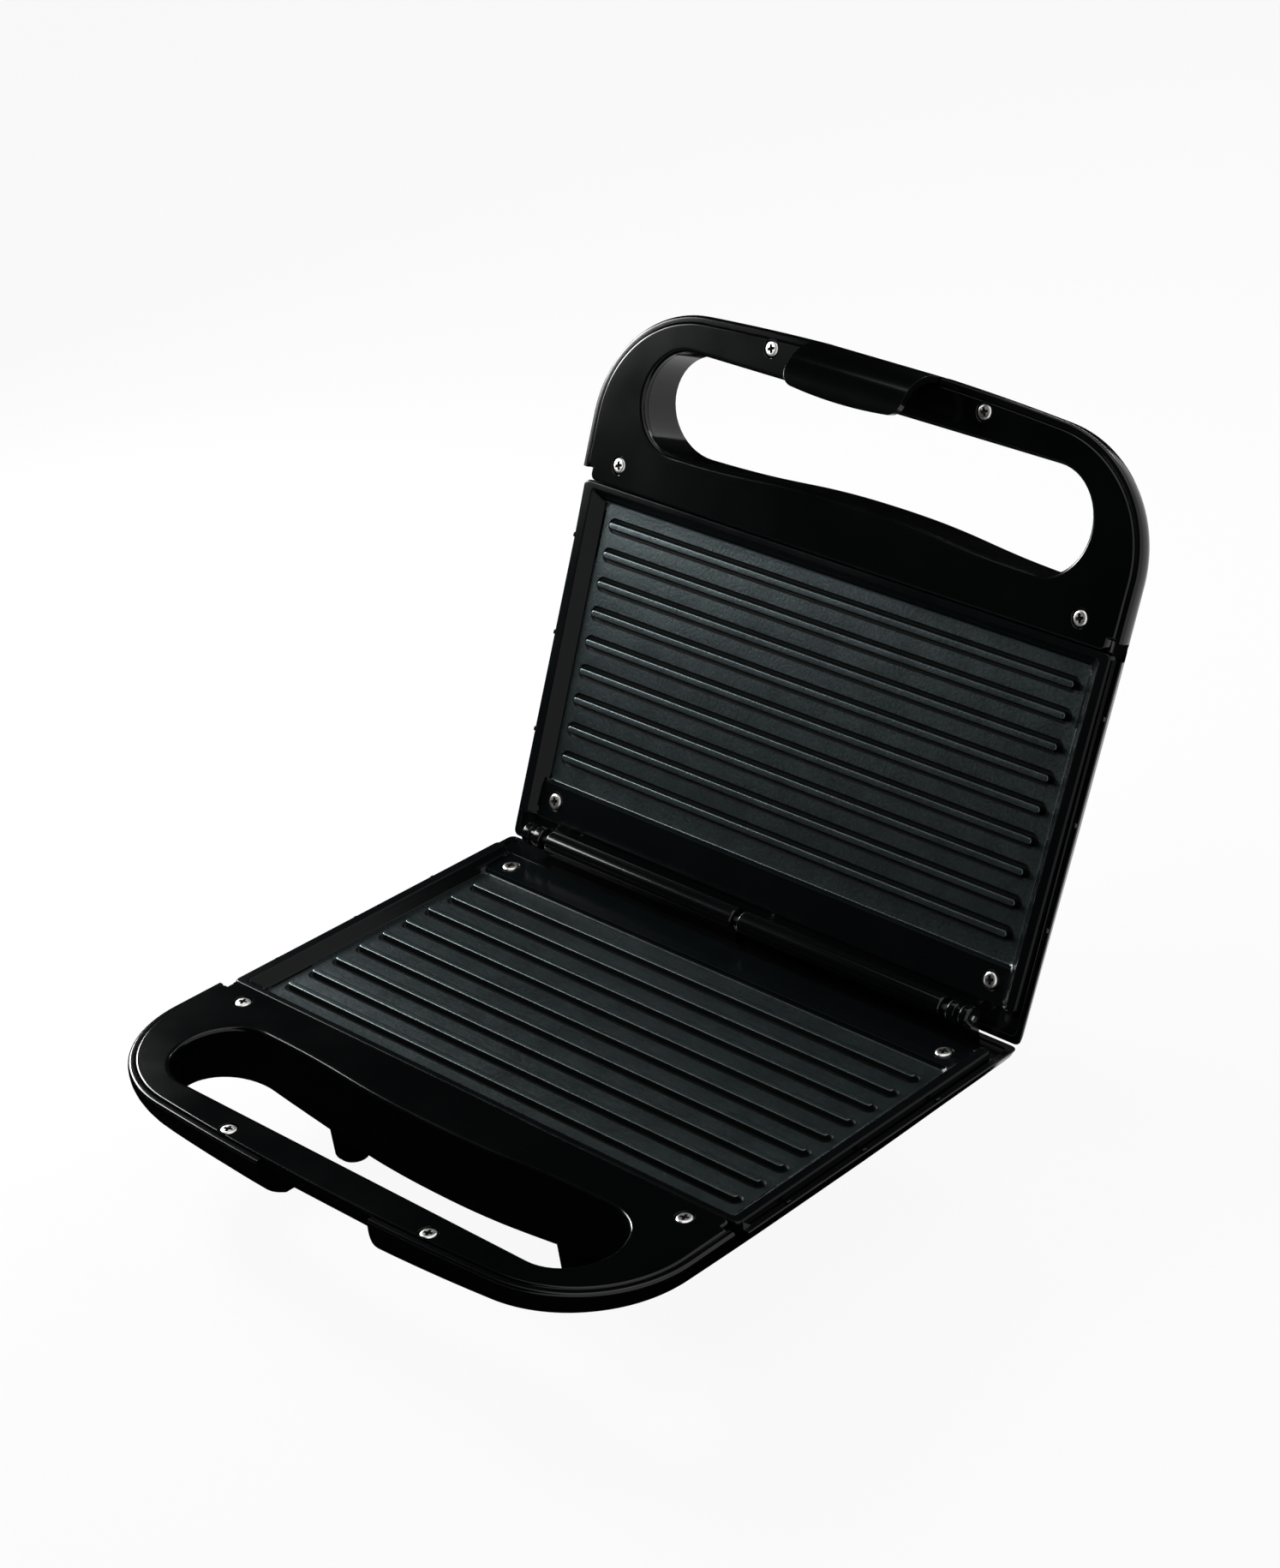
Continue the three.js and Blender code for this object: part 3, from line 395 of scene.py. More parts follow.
@dataclass
class Loop:
    """A closed run of vertices and the edges between them."""

    verts: list[bmesh.types.BMVert]
    edges: list[bmesh.types.BMEdge]


@dataclass
class Skin:
    """A mesh grown loop by loop with bmesh operators, in a half frame in millimetres.

    Attributes:
        bm: The mesh.
        ends: Loops of the screw holes in the underside, still open.
    """

    bm: bmesh.types.BMesh = field(default_factory=bmesh.new)
    ends: list[Loop] = field(default_factory=list)

    def start(self, points: Sequence[Point]) -> Loop:
        """Lay the first closed loop.

        Args:
            points: Corners of the loop, in order.

        Returns:
            The new loop.
        """
        verts = [self.bm.verts.new(point) for point in points]
        edges = [self.bm.edges.new(pair) for pair in zip(verts, verts[1:] + verts[:1])]
        return Loop(verts, edges)

    def grow(self, loop: Loop, points: Sequence[Point]) -> Loop:
        """Extrude a loop to new places.

        Args:
            loop: Loop to extrude.
            points: Where each of its vertices goes.

        Returns:
            The extruded loop.
        """
        made = bmesh.ops.extrude_edge_only(self.bm, edges=loop.edges)["geom"]
        fresh = {item for item in made if isinstance(item, bmesh.types.BMVert)}
        verts = []
        for old, point in zip(loop.verts, points):
            new = next(edge.other_vert(old) for edge in old.link_edges if edge.other_vert(old) in fresh)
            new.co = point
            verts.append(new)
        edges = [self.bm.edges.get(pair) for pair in zip(verts, verts[1:] + verts[:1])]
        return Loop(verts, edges)

    def fill(self, *loops: Loop) -> None:
        """Fill the flat region between the first loop and the others inside it."""
        self.fill_edges([edge for loop in loops for edge in loop.edges])

    def fill_edges(self, edges: list[bmesh.types.BMEdge]) -> None:
        """Fill the flat region that edges bound with triangles."""
        bmesh.ops.triangle_fill(self.bm, use_beauty=True, use_dissolve=False, edges=edges)

    def close(self, loop: Loop) -> None:
        """Close a loop with a fan of faces around its middle."""
        face = self.bm.faces.new(loop.verts)
        bmesh.ops.poke(self.bm, faces=[face])

    def clip(self, point: Point, normal: Point) -> None:
        """Cut away what lies on the normal's side of a plane, and close the cut.

        Args:
            point: A point of the plane.
            normal: Direction in which everything goes.
        """
        everything = self.bm.verts[:] + self.bm.edges[:] + self.bm.faces[:]
        cut = bmesh.ops.bisect_plane(
            self.bm, geom=everything, plane_co=point, plane_no=normal, clear_outer=True
        )["geom_cut"]
        self.fill_edges([item for item in cut if isinstance(item, bmesh.types.BMEdge)])

    def object(self, name: str) -> bpy.types.Object:
        """Turn the mesh into an object of the scene.

        Args:
            name: Name of the object.

        Returns:
            The object, still in the half frame.
        """
        weld(self.bm)
        return put_in_scene(name, self.bm)


def flat(points: Iterable[Vector], z: float) -> list[Point]:
    """Give plan points one height."""
    return [(p.x, p.y, z) for p in points]


def arc(x: float, y: float, radius: float, start: float, sweep: float, steps: int) -> list[Vector]:
    """Return the points of an arc in a plan or a side view.

    Args:
        x: First coordinate of its middle.
        y: Second coordinate of its middle.
        radius: Its radius.
        start: Angle of its first point.
        sweep: Angle from there to its last point.
        steps: Number of chords.

    Returns:
        One point more than there are chords.
    """
    turns = [start + sweep * i / steps for i in range(steps + 1)]
    return [Vector((x + radius * math.cos(a), y + radius * math.sin(a))) for a in turns]


def circle(x: float, y: float, radius: float, count: int = 32) -> list[Vector]:
    """Return the plan points of a circle."""
    return arc(x, y, radius, 0, 2 * math.pi, count)[:-1]


def mirrored(points: Sequence[Vector]) -> list[Vector]:
    """Return plan points on the other side of the middle, in reverse order."""
    return [Vector((-p.x, p.y)) for p in reversed(points)]


def quarter(steps: int) -> list[tuple[float, float]]:
    """Return 1 less the cosine and 1 less the sine over a quarter turn, for rounding an edge."""
    turns = [math.pi / 2 * i / steps for i in range(steps + 1)]
    return [(1 - math.cos(turn), 1 - math.sin(turn)) for turn in turns]


def curve(knots: Sequence[tuple[float, float]], count: int) -> list[Vector]:
    """Sample a straight, quadratic or cubic run without its last point.

    Args:
        knots: Two, three or four control points.
        count: Number of points.

    Returns:
        Points from the first knot up to just before the last.
    """
    rows = [Vector(knot) for knot in knots]
    points = []
    for i in range(count):
        t = i / count
        level = rows
        while len(level) > 1:
            level = [a.lerp(b, t) for a, b in zip(level, level[1:])]
        points.append(level[0])
    return points


def slab(start: Sequence[Point], end: Sequence[Point]) -> Skin:
    """Grow a closed block between two flat outlines.

    Args:
        start: Corners of one end.
        end: Matching corners of the other end.

    Returns:
        The block, which can still be cut.
    """
    skin = Skin()
    first = skin.start(start)
    last = skin.grow(first, end)
    skin.fill(first)
    skin.fill(last)
    return skin


def rectangle(x0: float, y0: float, x1: float, y1: float) -> list[Vector]:
    """Return the corners of a rectangle in a plan or a side view."""
    return [Vector(corner) for corner in ((x0, y0), (x1, y0), (x1, y1), (x0, y1))]


def prism(name: str, points: Sequence[Vector], low: float, high: float) -> bpy.types.Object:
    """Make an upright block with the given plan."""
    return slab(flat(points, low), flat(points, high)).object(name)


def side_prism(name: str, points: Sequence[Vector], half: float, middle: float = 0.0) -> bpy.types.Object:
    """Make a block from a side view.

    Args:
        name: Name of the object.
        points: Corners of the view, each a Y and a Z.
        half: Half the block's width.
        middle: Where its middle is along the hinge.

    Returns:
        The block.
    """
    block = slab([(-half, p.x, p.y) for p in points], [(half, p.x, p.y) for p in points]).object(name)
    block.data.transform(Matrix.Translation((middle, 0, 0)))
    return block


def turned(
    name: str, profile: Sequence[tuple[float, float]], place: Matrix, steps: int = 48
) -> bpy.types.Object:
    """Spin a closed outline about Z.

    Args:
        name: Name of the object.
        profile: Radius and height of each corner, starting and ending on the axis.
        place: Where the finished shape goes.
        steps: Facets around.

    Returns:
        The turned object.
    """
    shape = bmesh.new()
    verts = [shape.verts.new((radius, 0, z)) for radius, z in profile]
    edges = [shape.edges.new(pair) for pair in zip(verts, verts[1:])]
    bmesh.ops.spin(
        shape, geom=verts + edges, cent=(0, 0, 0), axis=(0, 0, 1), angle=2 * math.pi, steps=steps,
        use_merge=True, use_duplicate=False,
    )
    weld(shape)
    bmesh.ops.transform(shape, matrix=place, verts=shape.verts)
    return put_in_scene(name, shape)


def bake(obj: bpy.types.Object) -> None:
    """Apply an object's modifiers to its mesh.

    Args:
        obj: Object whose modifiers are used up.
    """
    graph = bpy.context.evaluated_depsgraph_get()
    mesh = bpy.data.meshes.new_from_object(obj.evaluated_get(graph))
    obj.modifiers.clear()
    obj.data = mesh


class Operation(Enum):
    """What one solid does to another."""

    CUT = "DIFFERENCE"
    JOIN = "UNION"
    KEEP_SHARED = "INTERSECT"


def combine(
    target: bpy.types.Object, others: Sequence[bpy.types.Object], operation: Operation
) -> bpy.types.Object:
    """Cut, join or intersect a solid with others, which are used up.

    Args:
        target: Solid that is kept.
        others: Solids that work on it.
        operation: What they do to it.

    Returns:
        The target.
    """
    for other in others:
        step = target.modifiers.new(operation.name.lower(), "BOOLEAN")
        step.operation = operation.value
        step.solver = "MANIFOLD"
        step.object = other
    bake(target)
    for other in others:
        bpy.data.objects.remove(other)
    return target


def soften(obj: bpy.types.Object, width: float) -> None:
    """Bevel the sharp edges of a piece.

    Args:
        obj: Piece in the half frame.
        width: Width of the bevel.
    """
    edge = obj.modifiers.new("soft edges", "BEVEL")
    edge.width = width
    edge.segments = 3
    edge.limit_method = "ANGLE"
    edge.angle_limit = math.radians(40)
    edge.use_clamp_overlap = True
    edge.harden_normals = False
    bake(obj)


def finish_piece(
    obj: bpy.types.Object, half: Half, body: str, finish: Finish, slot: str, nodes: Sequence[str],
    smooth: float = 35.0, others: Sequence[Finish] = (), zone: Callable[[Vector], int] | None = None,
) -> bpy.types.Object:
    """Place, shade and dress a finished piece, hang it on its CAD body and hide the CAD nodes that it stands
    for.

    Args:
        obj: Piece in the half frame.
        half: Half that it belongs to.
        body: CAD body that it rides on.
        finish: Finish of its surface.
        slot: Not used.
        nodes: CAD nodes that it stands for.
        smooth: Edges sharper than this angle, in degrees, stay crisp.
        others: Finishes of parts of its surface.
        zone: Says of a face's middle, in the half frame, which finish is on it: 0 is its own.

    Returns:
        The piece.
    """
    mesh = obj.data
    zones = [zone(face.center) if zone else 0 for face in mesh.polygons]
    mesh.transform(half.matrix)
    mesh.shade_smooth()
    mesh.set_sharp_from_angle(angle=math.radians(smooth))
    mesh.materials.clear()
    for each in (finish, *others):
        mesh.materials.append(material_of(each))
    mesh.polygons.foreach_set("material_index", zones)
    weights = obj.modifiers.new("flat faces lead", "WEIGHTED_NORMAL")
    weights.keep_sharp = True
    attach(obj, body)
    if nodes:
        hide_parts(*nodes)
    log.info("%s: %d faces, %s", obj.name, len(mesh.polygons), finish.name)
    return obj


# ------------------------------------------------------------------ outlines


@dataclass(frozen=True)
class Outline:
    """Plan of a half's moulded shell.

    Attributes:
        half_width: Half the width at the handle.
        rear_half_width: Half the width at the hinge.
        front: Hinge axis to the handle's front.
        rear: Hinge axis to the rear wall.
        corner: Radius of the handle's corners.
        rear_corner: Radius of the rear corners.
        bow: How far the front bows out.
        notch: Where the shell steps from lip to rim, with points close together.
    """

    half_width: float = 135.0
    rear_half_width: float = 131.0
    front: float = 215.0
    rear: float = 5.2
    corner: float = 47.0
    rear_corner: float = 3.0
    bow: float = 2.9
    notch: tuple[float, float] = (136.9, 143.1)

    def points(self, inset: float = 0.0) -> list[Vector]:
        """Return the whole outline.

        Args:
            inset: Distance that it is moved inwards.

        Returns:
            Plan points, always the same count.
        """
        right = self.right_side(inset)
        rear = curve([(-right[0].x, right[0].y), (right[0].x, right[0].y)], 24)
        return rear + right + mirrored(right)[1:-1]

    def right_side(self, inset: float) -> list[Vector]:
        """Return the right half of the outline.

        Args:
            inset: Distance that it is moved inwards.

        Returns:
            Plan points from the rear corner to the middle of the front.
        """
        side = self.half_width - inset
        rear_side = self.rear_half_width - inset
        front = self.front - inset
        rear = inset - self.rear
        corner = self.corner - inset
        shoulder = front - self.bow - corner
        bow_end = side - corner
        slope = 2 * self.bow / bow_end
        pull = corner * CIRCLE_PULL
        start = (rear_side, rear + self.rear_corner)

        def along(y: float) -> tuple[float, float]:
            """Return a point of the straight side."""
            share = (y - start[1]) / (shoulder - start[1])
            return rear_side + (side - rear_side) * share, y

        before, after = (along(y) for y in self.notch)
        return (
            curve([(rear_side - self.rear_corner, rear), (rear_side, rear), start], 8)
            + curve([start, before], 36)
            + curve([before, after], 2)
            + curve([after, (side, shoulder)], 6)
            + curve([(side, shoulder), (side, shoulder + pull),
                     (bow_end + pull, front - self.bow - slope * pull), (bow_end, front - self.bow)], 28)
            + curve([(bow_end, front - self.bow), (bow_end / 2, front), (0, front)], 22)
            + [Vector((0, front))]
        )


OUTLINE = Outline()


@dataclass(frozen=True)
class Dome:
    """Shape of the shell's outside below its rim.

    Attributes:
        top: Level where the wall starts to lean in.
        depth: Depth of the crown below that level.
        roundness: Power of the ellipse that the rings tend to.
        middle: Where the crown lies between hinge and handle.
        reach: Half the dome's length.
        fullness: How much steeper the wall is at the handle's end.
        crown: Angle of the last ring, in degrees; a fan closes the rest.
    """

    top: float = -7.8
    depth: float = 31.0
    roundness: float = 2.4
    middle: float = 104.9
    reach: float = 110.1
    fullness: float = 0.4
    crown: float = 89.0

    def ring(self, inset: float, angle: float) -> list[Point]:
        """Return one ring of the dome.

        Args:
            inset: Distance inside the outer surface.
            angle: 0 at the rim, a quarter turn at the crown.

        Returns:
            Points of the ring, one for each point of the outline.
        """
        z = self.top - (self.depth - inset) * math.sin(angle)
        return [self.lean(p, inset, angle, z) for p in OUTLINE.points(inset)]

    def lean(self, p: Vector, inset: float, angle: float, z: float) -> Point:
        """Move an outline point in to where the dome stands.

        Args:
            p: Point of the outline.
            inset: Distance inside the outer surface.
            angle: 0 at the rim, a quarter turn at the crown.
            z: Level of the point.

        Returns:
            Place of the point on the dome.
        """
        across = abs(p.x) / (OUTLINE.half_width - inset)
        along = abs(p.y - self.middle) / (self.reach - inset)
        corner = max(1.0, (across**self.roundness + along**self.roundness) ** (1 / self.roundness))
        share = math.cos(angle) * (1 + (1 / corner - 1) * math.sin(angle) ** 2)
        growth = 1.0
        if p.y > self.middle:
            growth += self.fullness * (math.sin(angle) * math.cos(angle) ** 2) ** 2
        return p.x * share, self.middle + (p.y - self.middle) * share * growth, z


DOME = Dome()


@dataclass(frozen=True)
class Opening:
    """Plan of the finger opening.

    Attributes:
        reach: Middle of the press to either end.
        near: Edge towards the grill plate.
        far: Edge towards the handle bar.
        bow: How far the near edge bows towards the handle bar.
    """

    reach: float = 110.4
    near: float = 157.5
    far: float = 197.3
    bow: float = 3.8

    def points(self, grow: float = 0.0) -> list[Vector]:
        """Return the opening's outline.

        Args:
            grow: Distance that it is moved outwards.

        Returns:
            Plan points, always the same count.
        """
        radius = (self.far - self.near) / 2 + grow
        middle = (self.far + self.near) / 2
        end = self.reach + grow - radius
        near = middle - radius
        crest = near + self.bow
        turns = [math.pi * (i / 24 - 0.5) for i in range(24)]
        return (
            curve([(-end, near), (-end / 2, near), (-end / 2, crest), (0, crest)], 20)
            + curve([(0, crest), (end / 2, crest), (end / 2, near), (end, near)], 20)
            + [Vector((end + radius * math.cos(a), middle + radius * math.sin(a))) for a in turns]
            + curve([(end, middle + radius), (-end, middle + radius)], 24)
            + [Vector((-end - radius * math.cos(a), middle - radius * math.sin(a))) for a in turns]
        )


OPENING = Opening()


@dataclass(frozen=True)
class Bar:
    """Side view of the handle bar and the recess that the latch lies in.

    Attributes:
        y: Middle of the bar's rounded outer edge, from the hinge axis.
        z: Its level.
        radius: Its radius.
        recess: Radius of the recess floor.
        recess_half: Half the recess's width.
        recess_rear: Where the recess starts, over the finger opening.
        recess_top: Level above the bar that the recess is cut to.
        bottom: Underside of the bar.
    """

    y: float = 198.9
    z: float = -5.8
    radius: float = 16.1
    recess: float = 12.9
    recess_half: float = 29.2
    recess_rear: float = 188.0
    recess_top: float = 6.0
    bottom: float = -24.0

    def recess_cutter(self) -> bpy.types.Object:
        """Make the solid that cuts the latch's recess.

        Returns:
            The solid.
        """
        rear, top = self.recess_rear, self.recess_top
        behind = [Vector((rear, DEEP)), Vector((rear, self.z - self.recess))]
        ahead = [Vector((self.y + self.recess, top)), Vector((BEYOND, top)), Vector((BEYOND, DEEP))]
        floor = arc(self.y, self.z, self.recess, -math.pi / 2, math.pi / 2, 20)
        return side_prism("recess cutter", behind + floor + ahead, self.recess_half)


BAR = Bar()


@dataclass(frozen=True)
class ScrewPlace:
    """Where a screw sits: plan place, level of its head and length of its shank."""

    x: float
    y: float
    head: float
    shank: float


COVER_SCREWS = tuple(ScrewPlace(x, y, -4.5, 10.0) for x, y in
                     ((52.5, 207.3), (-52.5, 207.3), (115.1, 147.5), (-115.1, 147.5)))
PLATE_SCREWS = tuple(ScrewPlace(x, 13.5, -7.5, 7.5) for x in (112.3, -112.3))
SCREWS = COVER_SCREWS + PLATE_SCREWS
HEAD_HEIGHT = 1.5
SINK_RADIUS = 3.65


def screw_hole(skin: Skin, place: ScrewPlace, face: float, floor: float, under: float) -> Loop:
    """Sink a counterbore and its bore through a plate.

    Args:
        skin: Plate that is being grown, which keeps the bore's open end.
        place: Screw that it takes.
        face: Level of the plate's face.
        floor: Level of the counterbore's floor.
        under: Level of the plate's underside.

    Returns:
        The hole's loop in the face, for filling around.
    """
    rim = loop = skin.start(flat(circle(place.x, place.y, SINK_RADIUS + 0.35), face))
    lead_in = ((SINK_RADIUS + 0.15, face), (SINK_RADIUS, face - 0.15))
    for radius, level in (*lead_in, (SINK_RADIUS, floor), (BORE, floor), (BORE, under)):
        loop = skin.grow(loop, flat(circle(place.x, place.y, radius), level))
    skin.ends.append(loop)
    return rim


def rod_profile(radius: float, length: float) -> list[tuple[float, float]]:
    """Return the outline that turned() makes a plain rod from."""
    return [(0, 0), (radius, 0), (radius, length), (0, length)]


def gland_axis(start: float) -> Matrix:
    """Return the placement of a shape turned about the cord gland's axis, from a distance on."""
    return Matrix.Translation((0, start, GLAND_LEVEL)) @ ALONG_Y


# ------------------------------------------------------------------ housing


@dataclass
class Housing:
    """The moulded shell of one half, with its handle ring, barrel, knuckle and feet.

    Attributes:
        half: Which half it is.
        rim: Level of the rim around the handle cover.
        lip: Level of the lip around the grill plate.
        step: Where lip and rim meet, hidden in the notch.
        edge: Radius of the rim's outer edge.
        lip_edge: Radius of the lip's outer edge.
        rings: Rings of the dome.
        cover_seat: Level that the handle cover rests on.
        ledge_top: Level that the plate's rim rests on.
        barrel_radius: Radius of the hinge barrel.
        barrel: Start and end of the long barrel.
        knuckle: Start and end of the knuckle, on the other side.
        web: Rear, underside, front and top of the webs that carry barrel and knuckle.
        seam: Where the seats of plate and cover meet.
        notch: Inner side, outer side, rear and front of the notch that parts lip and rim.
        notch_floor: Level of the notch's floor.
        bay_inset: Distance from the plate's outline to the bay under it.
        bay_start: Angle of the bay's first ring, in degrees.
        bay_rings: Rings of the bay.
        bar_trim: Start and end of the cut that levels the handle bar's underside.
        pin_bore: Radius of the hinge pin's bore.
        pin_reach: Half the length of that bore.
        sole: Height of a foot post's sole above the table.
        post: Radius and height above its sole of each corner of a foot post.
        post_top: Radius and level of its top, inside the shell.
        pad_seat: Radius and height above the table of the pads' seats.
        boss: Radius and distance of each corner of the cord gland's boss.
        gland_hole: Radius and length of the hole through that boss.
        lens_hole: Radius and top level of a lamp's hole.
        pocket: Radius and half-width of the pocket of a latch ear.
        nub_places: Distances of the locating nubs from the hinge axis.
        nub_size: Size of a nub.
        nub_edge: Width of the bevel on its edges.
        nub_rise: Level of its middle above the lip.
        nub_x: Middle of the press to a nub level with the hinge axis.
        nub_slope: Growth of that distance towards the handle.
    """

    half: Half
    rim: float = -5.2
    lip: float = -8.6
    step: float = 140.0
    edge: float = 1.2
    lip_edge: float = 0.45
    rings: int = 26
    cover_seat: float = -7.7
    ledge_top: float = -9.2
    barrel_radius: float = 4.4
    barrel: tuple[float, float] = (1.5, 102.0)
    knuckle: tuple[float, float] = (-115.0, -105.0)
    web: tuple[float, float, float, float] = (-2.6, -14.0, 1.8, -1.0)
    seam: float = 139.0
    notch: tuple[float, float, float, float] = (129.0, 142.0, 136.8, 143.2)
    notch_floor: float = -13.3
    bay_inset: float = 4.2
    bay_start: float = 2.0
    bay_rings: int = 13
    bar_trim: tuple[float, float] = (192.0, 222.0)
    pin_bore: float = 1.6
    pin_reach: float = 120.0
    sole: float = 1.5
    post: tuple[tuple[float, float], ...] = ((0.0, 0.0), (6.4, 0.0), (6.85, 0.2), (7.05, 0.7))
    post_top: tuple[float, float] = (9.5, -8.0)
    pad_seat: tuple[float, float] = (5.9, 3.3)
    boss: tuple[tuple[float, float], ...] = (
        (0.0, 0.0), (7.7, 0.0), (8.05, 0.15), (8.2, 0.5), (8.2, 13.0), (0.0, 13.0),
    )
    gland_hole: tuple[float, float] = (5.5, 24.0)
    lens_hole: tuple[float, float] = (3.8, -33.0)
    pocket: tuple[float, float] = (3.8, 3.9)
    nub_places: tuple[float, ...] = (38.0, 77.0, 116.0)
    nub_size: tuple[float, float, float] = (1.5, 1.8, 1.4)
    nub_edge: float = 0.35
    nub_rise: float = 0.45
    nub_x: float = 129.95324
    nub_slope: float = 0.0242

    def level(self, y: float) -> float:
        """Return the level of the shell's top edge at a distance from the hinge axis."""
        return self.rim if y > self.step else self.lip

    def edge_at(self, y: float) -> float:
        """Return the radius of the shell's outer edge at a distance from the hinge axis."""
        return self.edge if y > self.step else self.lip_edge

    def outer(self) -> bpy.types.Object:
        """Grow the outside of the shell.

        Returns:
            The shell, still solid.
        """
        skin = Skin()
        plan = OUTLINE.points(0)
        inside = OUTLINE.points(1)

        def edge_loop(inset: float, drop: float) -> list[Point]:
            """Return a ring of the rounded edge, in shares of its radius."""
            places = [p.lerp(q, inset * self.edge_at(p.y)) for p, q in zip(plan, inside)]
            return [(q.x, q.y, self.level(p.y) - drop * self.edge_at(p.y)) for p, q in zip(plan, places)]

        top = skin.start([(q.x, q.y, self.level(p.y)) for p, q in zip(plan, OUTLINE.points(2.4))])
        loop = skin.grow(top, edge_loop(1, 0))
        for drop, inset in quarter(5)[1:]:
            loop = skin.grow(loop, edge_loop(inset, drop))
        for i in range(self.rings):
            loop = skin.grow(loop, self.dome_loop(plan, i / self.rings))
        skin.close(loop)
        skin.bm.faces.new(top.verts)
        return skin.object(self.half.value + "_housing_shell")

    def dome_loop(self, plan: Sequence[Vector], share: float) -> list[Point]:
        """Return a ring of the dome that starts just below the shell's rounded edge.

        Args:
            plan: Outline of the shell.
            share: 0 for the first ring, 1 for the crown.

        Returns:
            Points of the ring.
        """
        points = []
        for p in plan:
            start = min(DOME.top, self.level(p.y) - self.edge_at(p.y) - 0.3)
            first = math.asin((DOME.top - start) / DOME.depth)
            angle = first + (math.radians(DOME.crown) - first) * share
            points.append(DOME.lean(p, 0, angle, DOME.top - DOME.depth * math.sin(angle)))
        return points

    def cutters(self) -> list[bpy.types.Object]:
        """Make the solids that hollow the shell out.

        Returns:
            The solids.
        """
        wall = OUTLINE.points(WALL)
        cutters = []
        for side, low in ((1, self.ledge_top), (-1, self.cover_seat)):
            seat = slab(flat(wall, low), flat(wall, CLEAR))
            seat.clip((0, self.seam, 0), (0, side, 0))
            cutters.append(seat.object("seat cutter"))
        cutters.append(self.bay())
        cutters.append(prism("opening cutter", OPENING.points(), DEEP, CLEAR))
        inner, outer, rear, front = self.notch
        for side in (-1, 1):
            corners = rectangle(inner * side, rear, outer * side, front)
            cutters.append(prism("notch cutter", corners, self.notch_floor, CLEAR))
        cutters.append(BAR.recess_cutter())
        for place in SCREWS:
            low = place.head - HEAD_HEIGHT - place.shank - 0.4
            cutters.append(prism("bore cutter", circle(place.x, place.y, BORE, 16), low, place.head))
        return cutters

    def bay(self) -> bpy.types.Object:
        """Make the space under the grill plate as a solid.

        Returns:
            The solid.
        """
        skin = Skin()
        loop = skin.start(DOME.ring(WALL, math.radians(self.bay_start)))
        top = skin.grow(loop, flat([Vector(v.co[:2]) for v in loop.verts], 0))
        skin.bm.faces.new(top.verts)
        for i in range(1, self.bay_rings + 1):
            angle = self.bay_start + (DOME.crown - self.bay_start) * i / self.bay_rings
            loop = skin.grow(loop, DOME.ring(WALL, math.radians(angle)))
        skin.close(loop)
        inner = skin.object("bay")
        plan = PLATE.points(self.bay_inset, PLATE.front - self.bay_inset, PLATE.rear + self.bay_inset)
        walls = prism("bay walls", plan, DEEP, self.ledge_top + 1)
        return combine(inner, [walls], Operation.KEEP_SHARED)

    def barrels(self) -> list[bpy.types.Object]:
        """Make the hinge barrel and knuckle with their webs.

        Returns:
            The solids.
        """
        parts = []
        r = self.barrel_radius
        for x0, x1 in (self.barrel, self.knuckle):
            length = x1 - x0
            end = [(0, 0), (r - 0.9, 0), (r - 0.35, 0.2), (r - 0.08, 0.5), (r, 0.9)]
            if x0 < 0:
                end += [(r, 3.3), (r - 0.2, 3.7), (r - 0.8, 4.0)]
            profile = end + [(radius, length - z) for radius, z in reversed(end)]
            parts.append(turned("barrel", profile, Matrix.Translation((x0, 0, 0)) @ ALONG_X, 64))
            parts.append(side_prism("web", rectangle(*self.web), length / 2, (x0 + x1) / 2))
        return parts

    def feet(self) -> list[bpy.types.Object]:
        """Make the foot posts under the base.

        Returns:
            The solids.
        """
        sole = self.sole - FOOT_DROP
        profile = [(radius, sole + rise) for radius, rise in self.post]
        profile += [self.post_top, (0, self.post_top[1])]
        return [
            turned("post", profile, Matrix.Translation((side * x, y, 0)))
            for x, y in FEET for side in (-1, 1)
        ]

    def build(self) -> bpy.types.Object:
        """Make the finished housing.

        Returns:
            The housing, dressed and hung on its body.
        """
        shell = self.outer()
        rear, front = self.bar_trim
        under_bar = rectangle(-OUTLINE.half_width, rear, OUTLINE.half_width, front)
        if self.half is Half.BASE:
            combine(shell, self.feet() + [self.gland_boss()], Operation.JOIN)
        cutters = [prism("bar trim", under_bar, DEEP, BAR.bottom)] + self.cutters()
        cutters += self.base_cutters() if self.half is Half.BASE else self.lid_cutters()
        combine(shell, cutters, Operation.CUT)
        combine(shell, self.barrels(), Operation.JOIN)
        bore = rod_profile(self.pin_bore, 2 * self.pin_reach)
        place = Matrix.Translation((-self.pin_reach, 0, 0)) @ ALONG_X
        combine(shell, [turned("pin bore", bore, place, 32)], Operation.CUT)
        name = self.half.value
        return finish_piece(shell, self.half, name, GLOSS_ABS, "shell_plastic", [name + "_housing"])

    def gland_boss(self) -> bpy.types.Object:
        """Return the boss that carries the cord gland."""
        return turned("gland boss", self.boss, gland_axis(3))

    def base_cutters(self) -> list[bpy.types.Object]:
        """Make the gland's hole and the seats of the foot pads.

        Returns:
            The solids that cut them.
        """
        hole = turned("gland cutter", rod_profile(*self.gland_hole), gland_axis(-2), 32)
        radius, height = self.pad_seat
        seats = [
            prism("pad cutter", circle(side * x, y, radius, 40), DEEP, height - FOOT_DROP)
            for x, y in FEET for side in (-1, 1)
        ]
        return [hole] + seats

